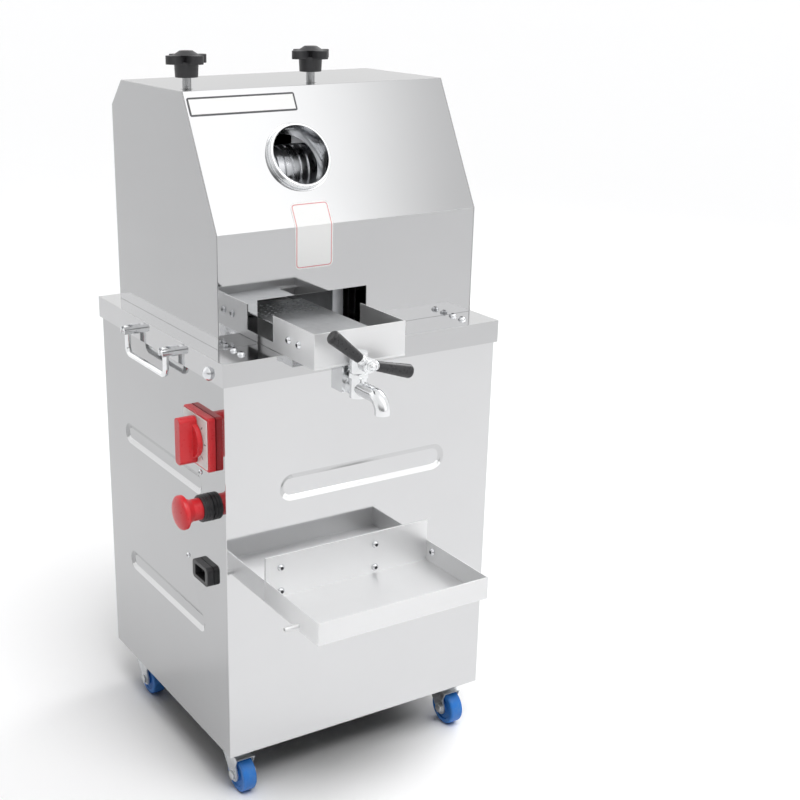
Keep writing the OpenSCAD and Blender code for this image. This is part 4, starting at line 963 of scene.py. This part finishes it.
# Softbox: place and aim in metres, size in metres and power in watts

SOFTBOX_PLACE = (2.2, 0.6, 2.3)
SOFTBOX_AIM = (0, 0, 0.4)
SOFTBOX_SIZE = 1.4
SOFTBOX_POWER = 25

# Camera: place in metres, tilt and turn in degrees, sensor and lens in mm, shift in picture widths

CAMERA_PLACE = (-0.8719, -1.5212, 1.0628)
CAMERA_TILT = 70.34
CAMERA_TURN = -29.76
CAMERA_SENSOR = 36
CAMERA_LENS = 59.65
CAMERA_SHIFT = (0.137, 0.035)
CAMERA_NEAR = 0.05


def lay_floor():
    """Lays the pale floor just under the casters."""
    deselect()
    bpy.ops.mesh.primitive_plane_add(size=FLOOR_SIZE, location=(0, 0, -FLOOR_DROP))
    floor = newest()
    floor.name = "floor"
    finish = Finish("pale_floor", (0.95, 0.95, 0.955), roughness=0.6)
    finish.roughness(finish.spread(finish.noise(3.0), 0.55, 0.7))
    floor.data.materials.append(finish.material)


def light_world():
    """White surround for the camera and the steel, with its glows and a dark flag; soft fill from above."""
    world = bpy.data.worlds.new("studio")
    bpy.context.scene.world = world
    world.use_nodes = True
    nodes = world.node_tree.nodes
    links = world.node_tree.links
    direction = nodes.new("ShaderNodeTexCoord").outputs["Generated"]

    def toward(aim, start, stop, low, high):
        """Grows softly from low to high as the direction turns towards aim."""
        facing = nodes.new("ShaderNodeVectorMath")
        facing.operation = "DOT_PRODUCT"
        facing.inputs[1].default_value = Vector(aim).normalized()
        links.new(direction, facing.inputs[0])
        ramp = nodes.new("ShaderNodeMapRange")
        ramp.interpolation_type = "SMOOTHSTEP"
        for name, value in zip(("From Min", "From Max", "To Min", "To Max"), (start, stop, low, high)):
            ramp.inputs[name].default_value = value
        links.new(facing.outputs["Value"], ramp.inputs["Value"])
        return ramp.outputs["Result"]

    def combine(operation, first, second):
        """Makes one value of two, each a number or another node's output."""
        made = nodes.new("ShaderNodeMath")
        made.operation = operation
        for socket, value in zip(made.inputs, (first, second)):
            if isinstance(value, (int, float)):
                socket.default_value = value
            else:
                links.new(value, socket)
        return made.outputs[0]

    path = nodes.new("ShaderNodeLightPath").outputs
    shown = combine("MAXIMUM", path["Is Camera Ray"], path["Is Glossy Ray"])
    shown = combine("MAXIMUM", shown, path["Is Transmission Ray"])
    shown = combine("MULTIPLY", shown, combine("LESS_THAN", path["Diffuse Depth"], 0.5))
    flag = combine("MULTIPLY", toward(*FLAG_SIDE), toward(*FLAG_HEIGHT))
    surround = combine("SUBTRACT", 1.0, combine("MULTIPLY", flag, FLAG_DEPTH))
    for part in (BRIGHT_FIELD, FRONT_GLOW, REAR_DIM, SIDE_GLOW):
        surround = combine("MULTIPLY", surround, toward(*part))
    surround = combine("MAXIMUM", surround, path["Is Camera Ray"])
    fill = combine("ADD", toward(*FILL_ABOVE), toward(*FILL_FRONT))
    gain = combine("MULTIPLY", shown, combine("SUBTRACT", surround, fill))
    background = nodes["Background"]
    background.inputs["Color"].default_value = (1, 1, 1, 1)
    links.new(combine("ADD", fill, gain), background.inputs["Strength"])


def light_scene():
    """Lights the object by the world and one softbox at its right."""
    light_world()
    place = Vector(SOFTBOX_PLACE)
    bpy.ops.object.light_add(type="AREA", location=place)
    lamp = newest()
    lamp.name = "side_softbox"
    lamp.data.size = SOFTBOX_SIZE
    lamp.data.energy = SOFTBOX_POWER
    lamp.rotation_euler = (Vector(SOFTBOX_AIM) - place).to_track_quat("-Z", "Y").to_euler()


def set_camera():
    """Puts the camera where the photo was taken from."""
    deselect()
    bpy.ops.object.camera_add(location=CAMERA_PLACE,
                              rotation=(math.radians(CAMERA_TILT), 0, math.radians(CAMERA_TURN)))
    camera = newest()
    camera.name = "photo_camera"
    camera.data.sensor_width = CAMERA_SENSOR
    camera.data.lens = CAMERA_LENS
    camera.data.shift_x, camera.data.shift_y = CAMERA_SHIFT
    camera.data.clip_start = CAMERA_NEAR
    bpy.context.scene.camera = camera


set_camera()
dress_nodes()
add_fittings()
lay_floor()
light_scene()
bpy.context.scene.view_settings.view_transform = "Standard"
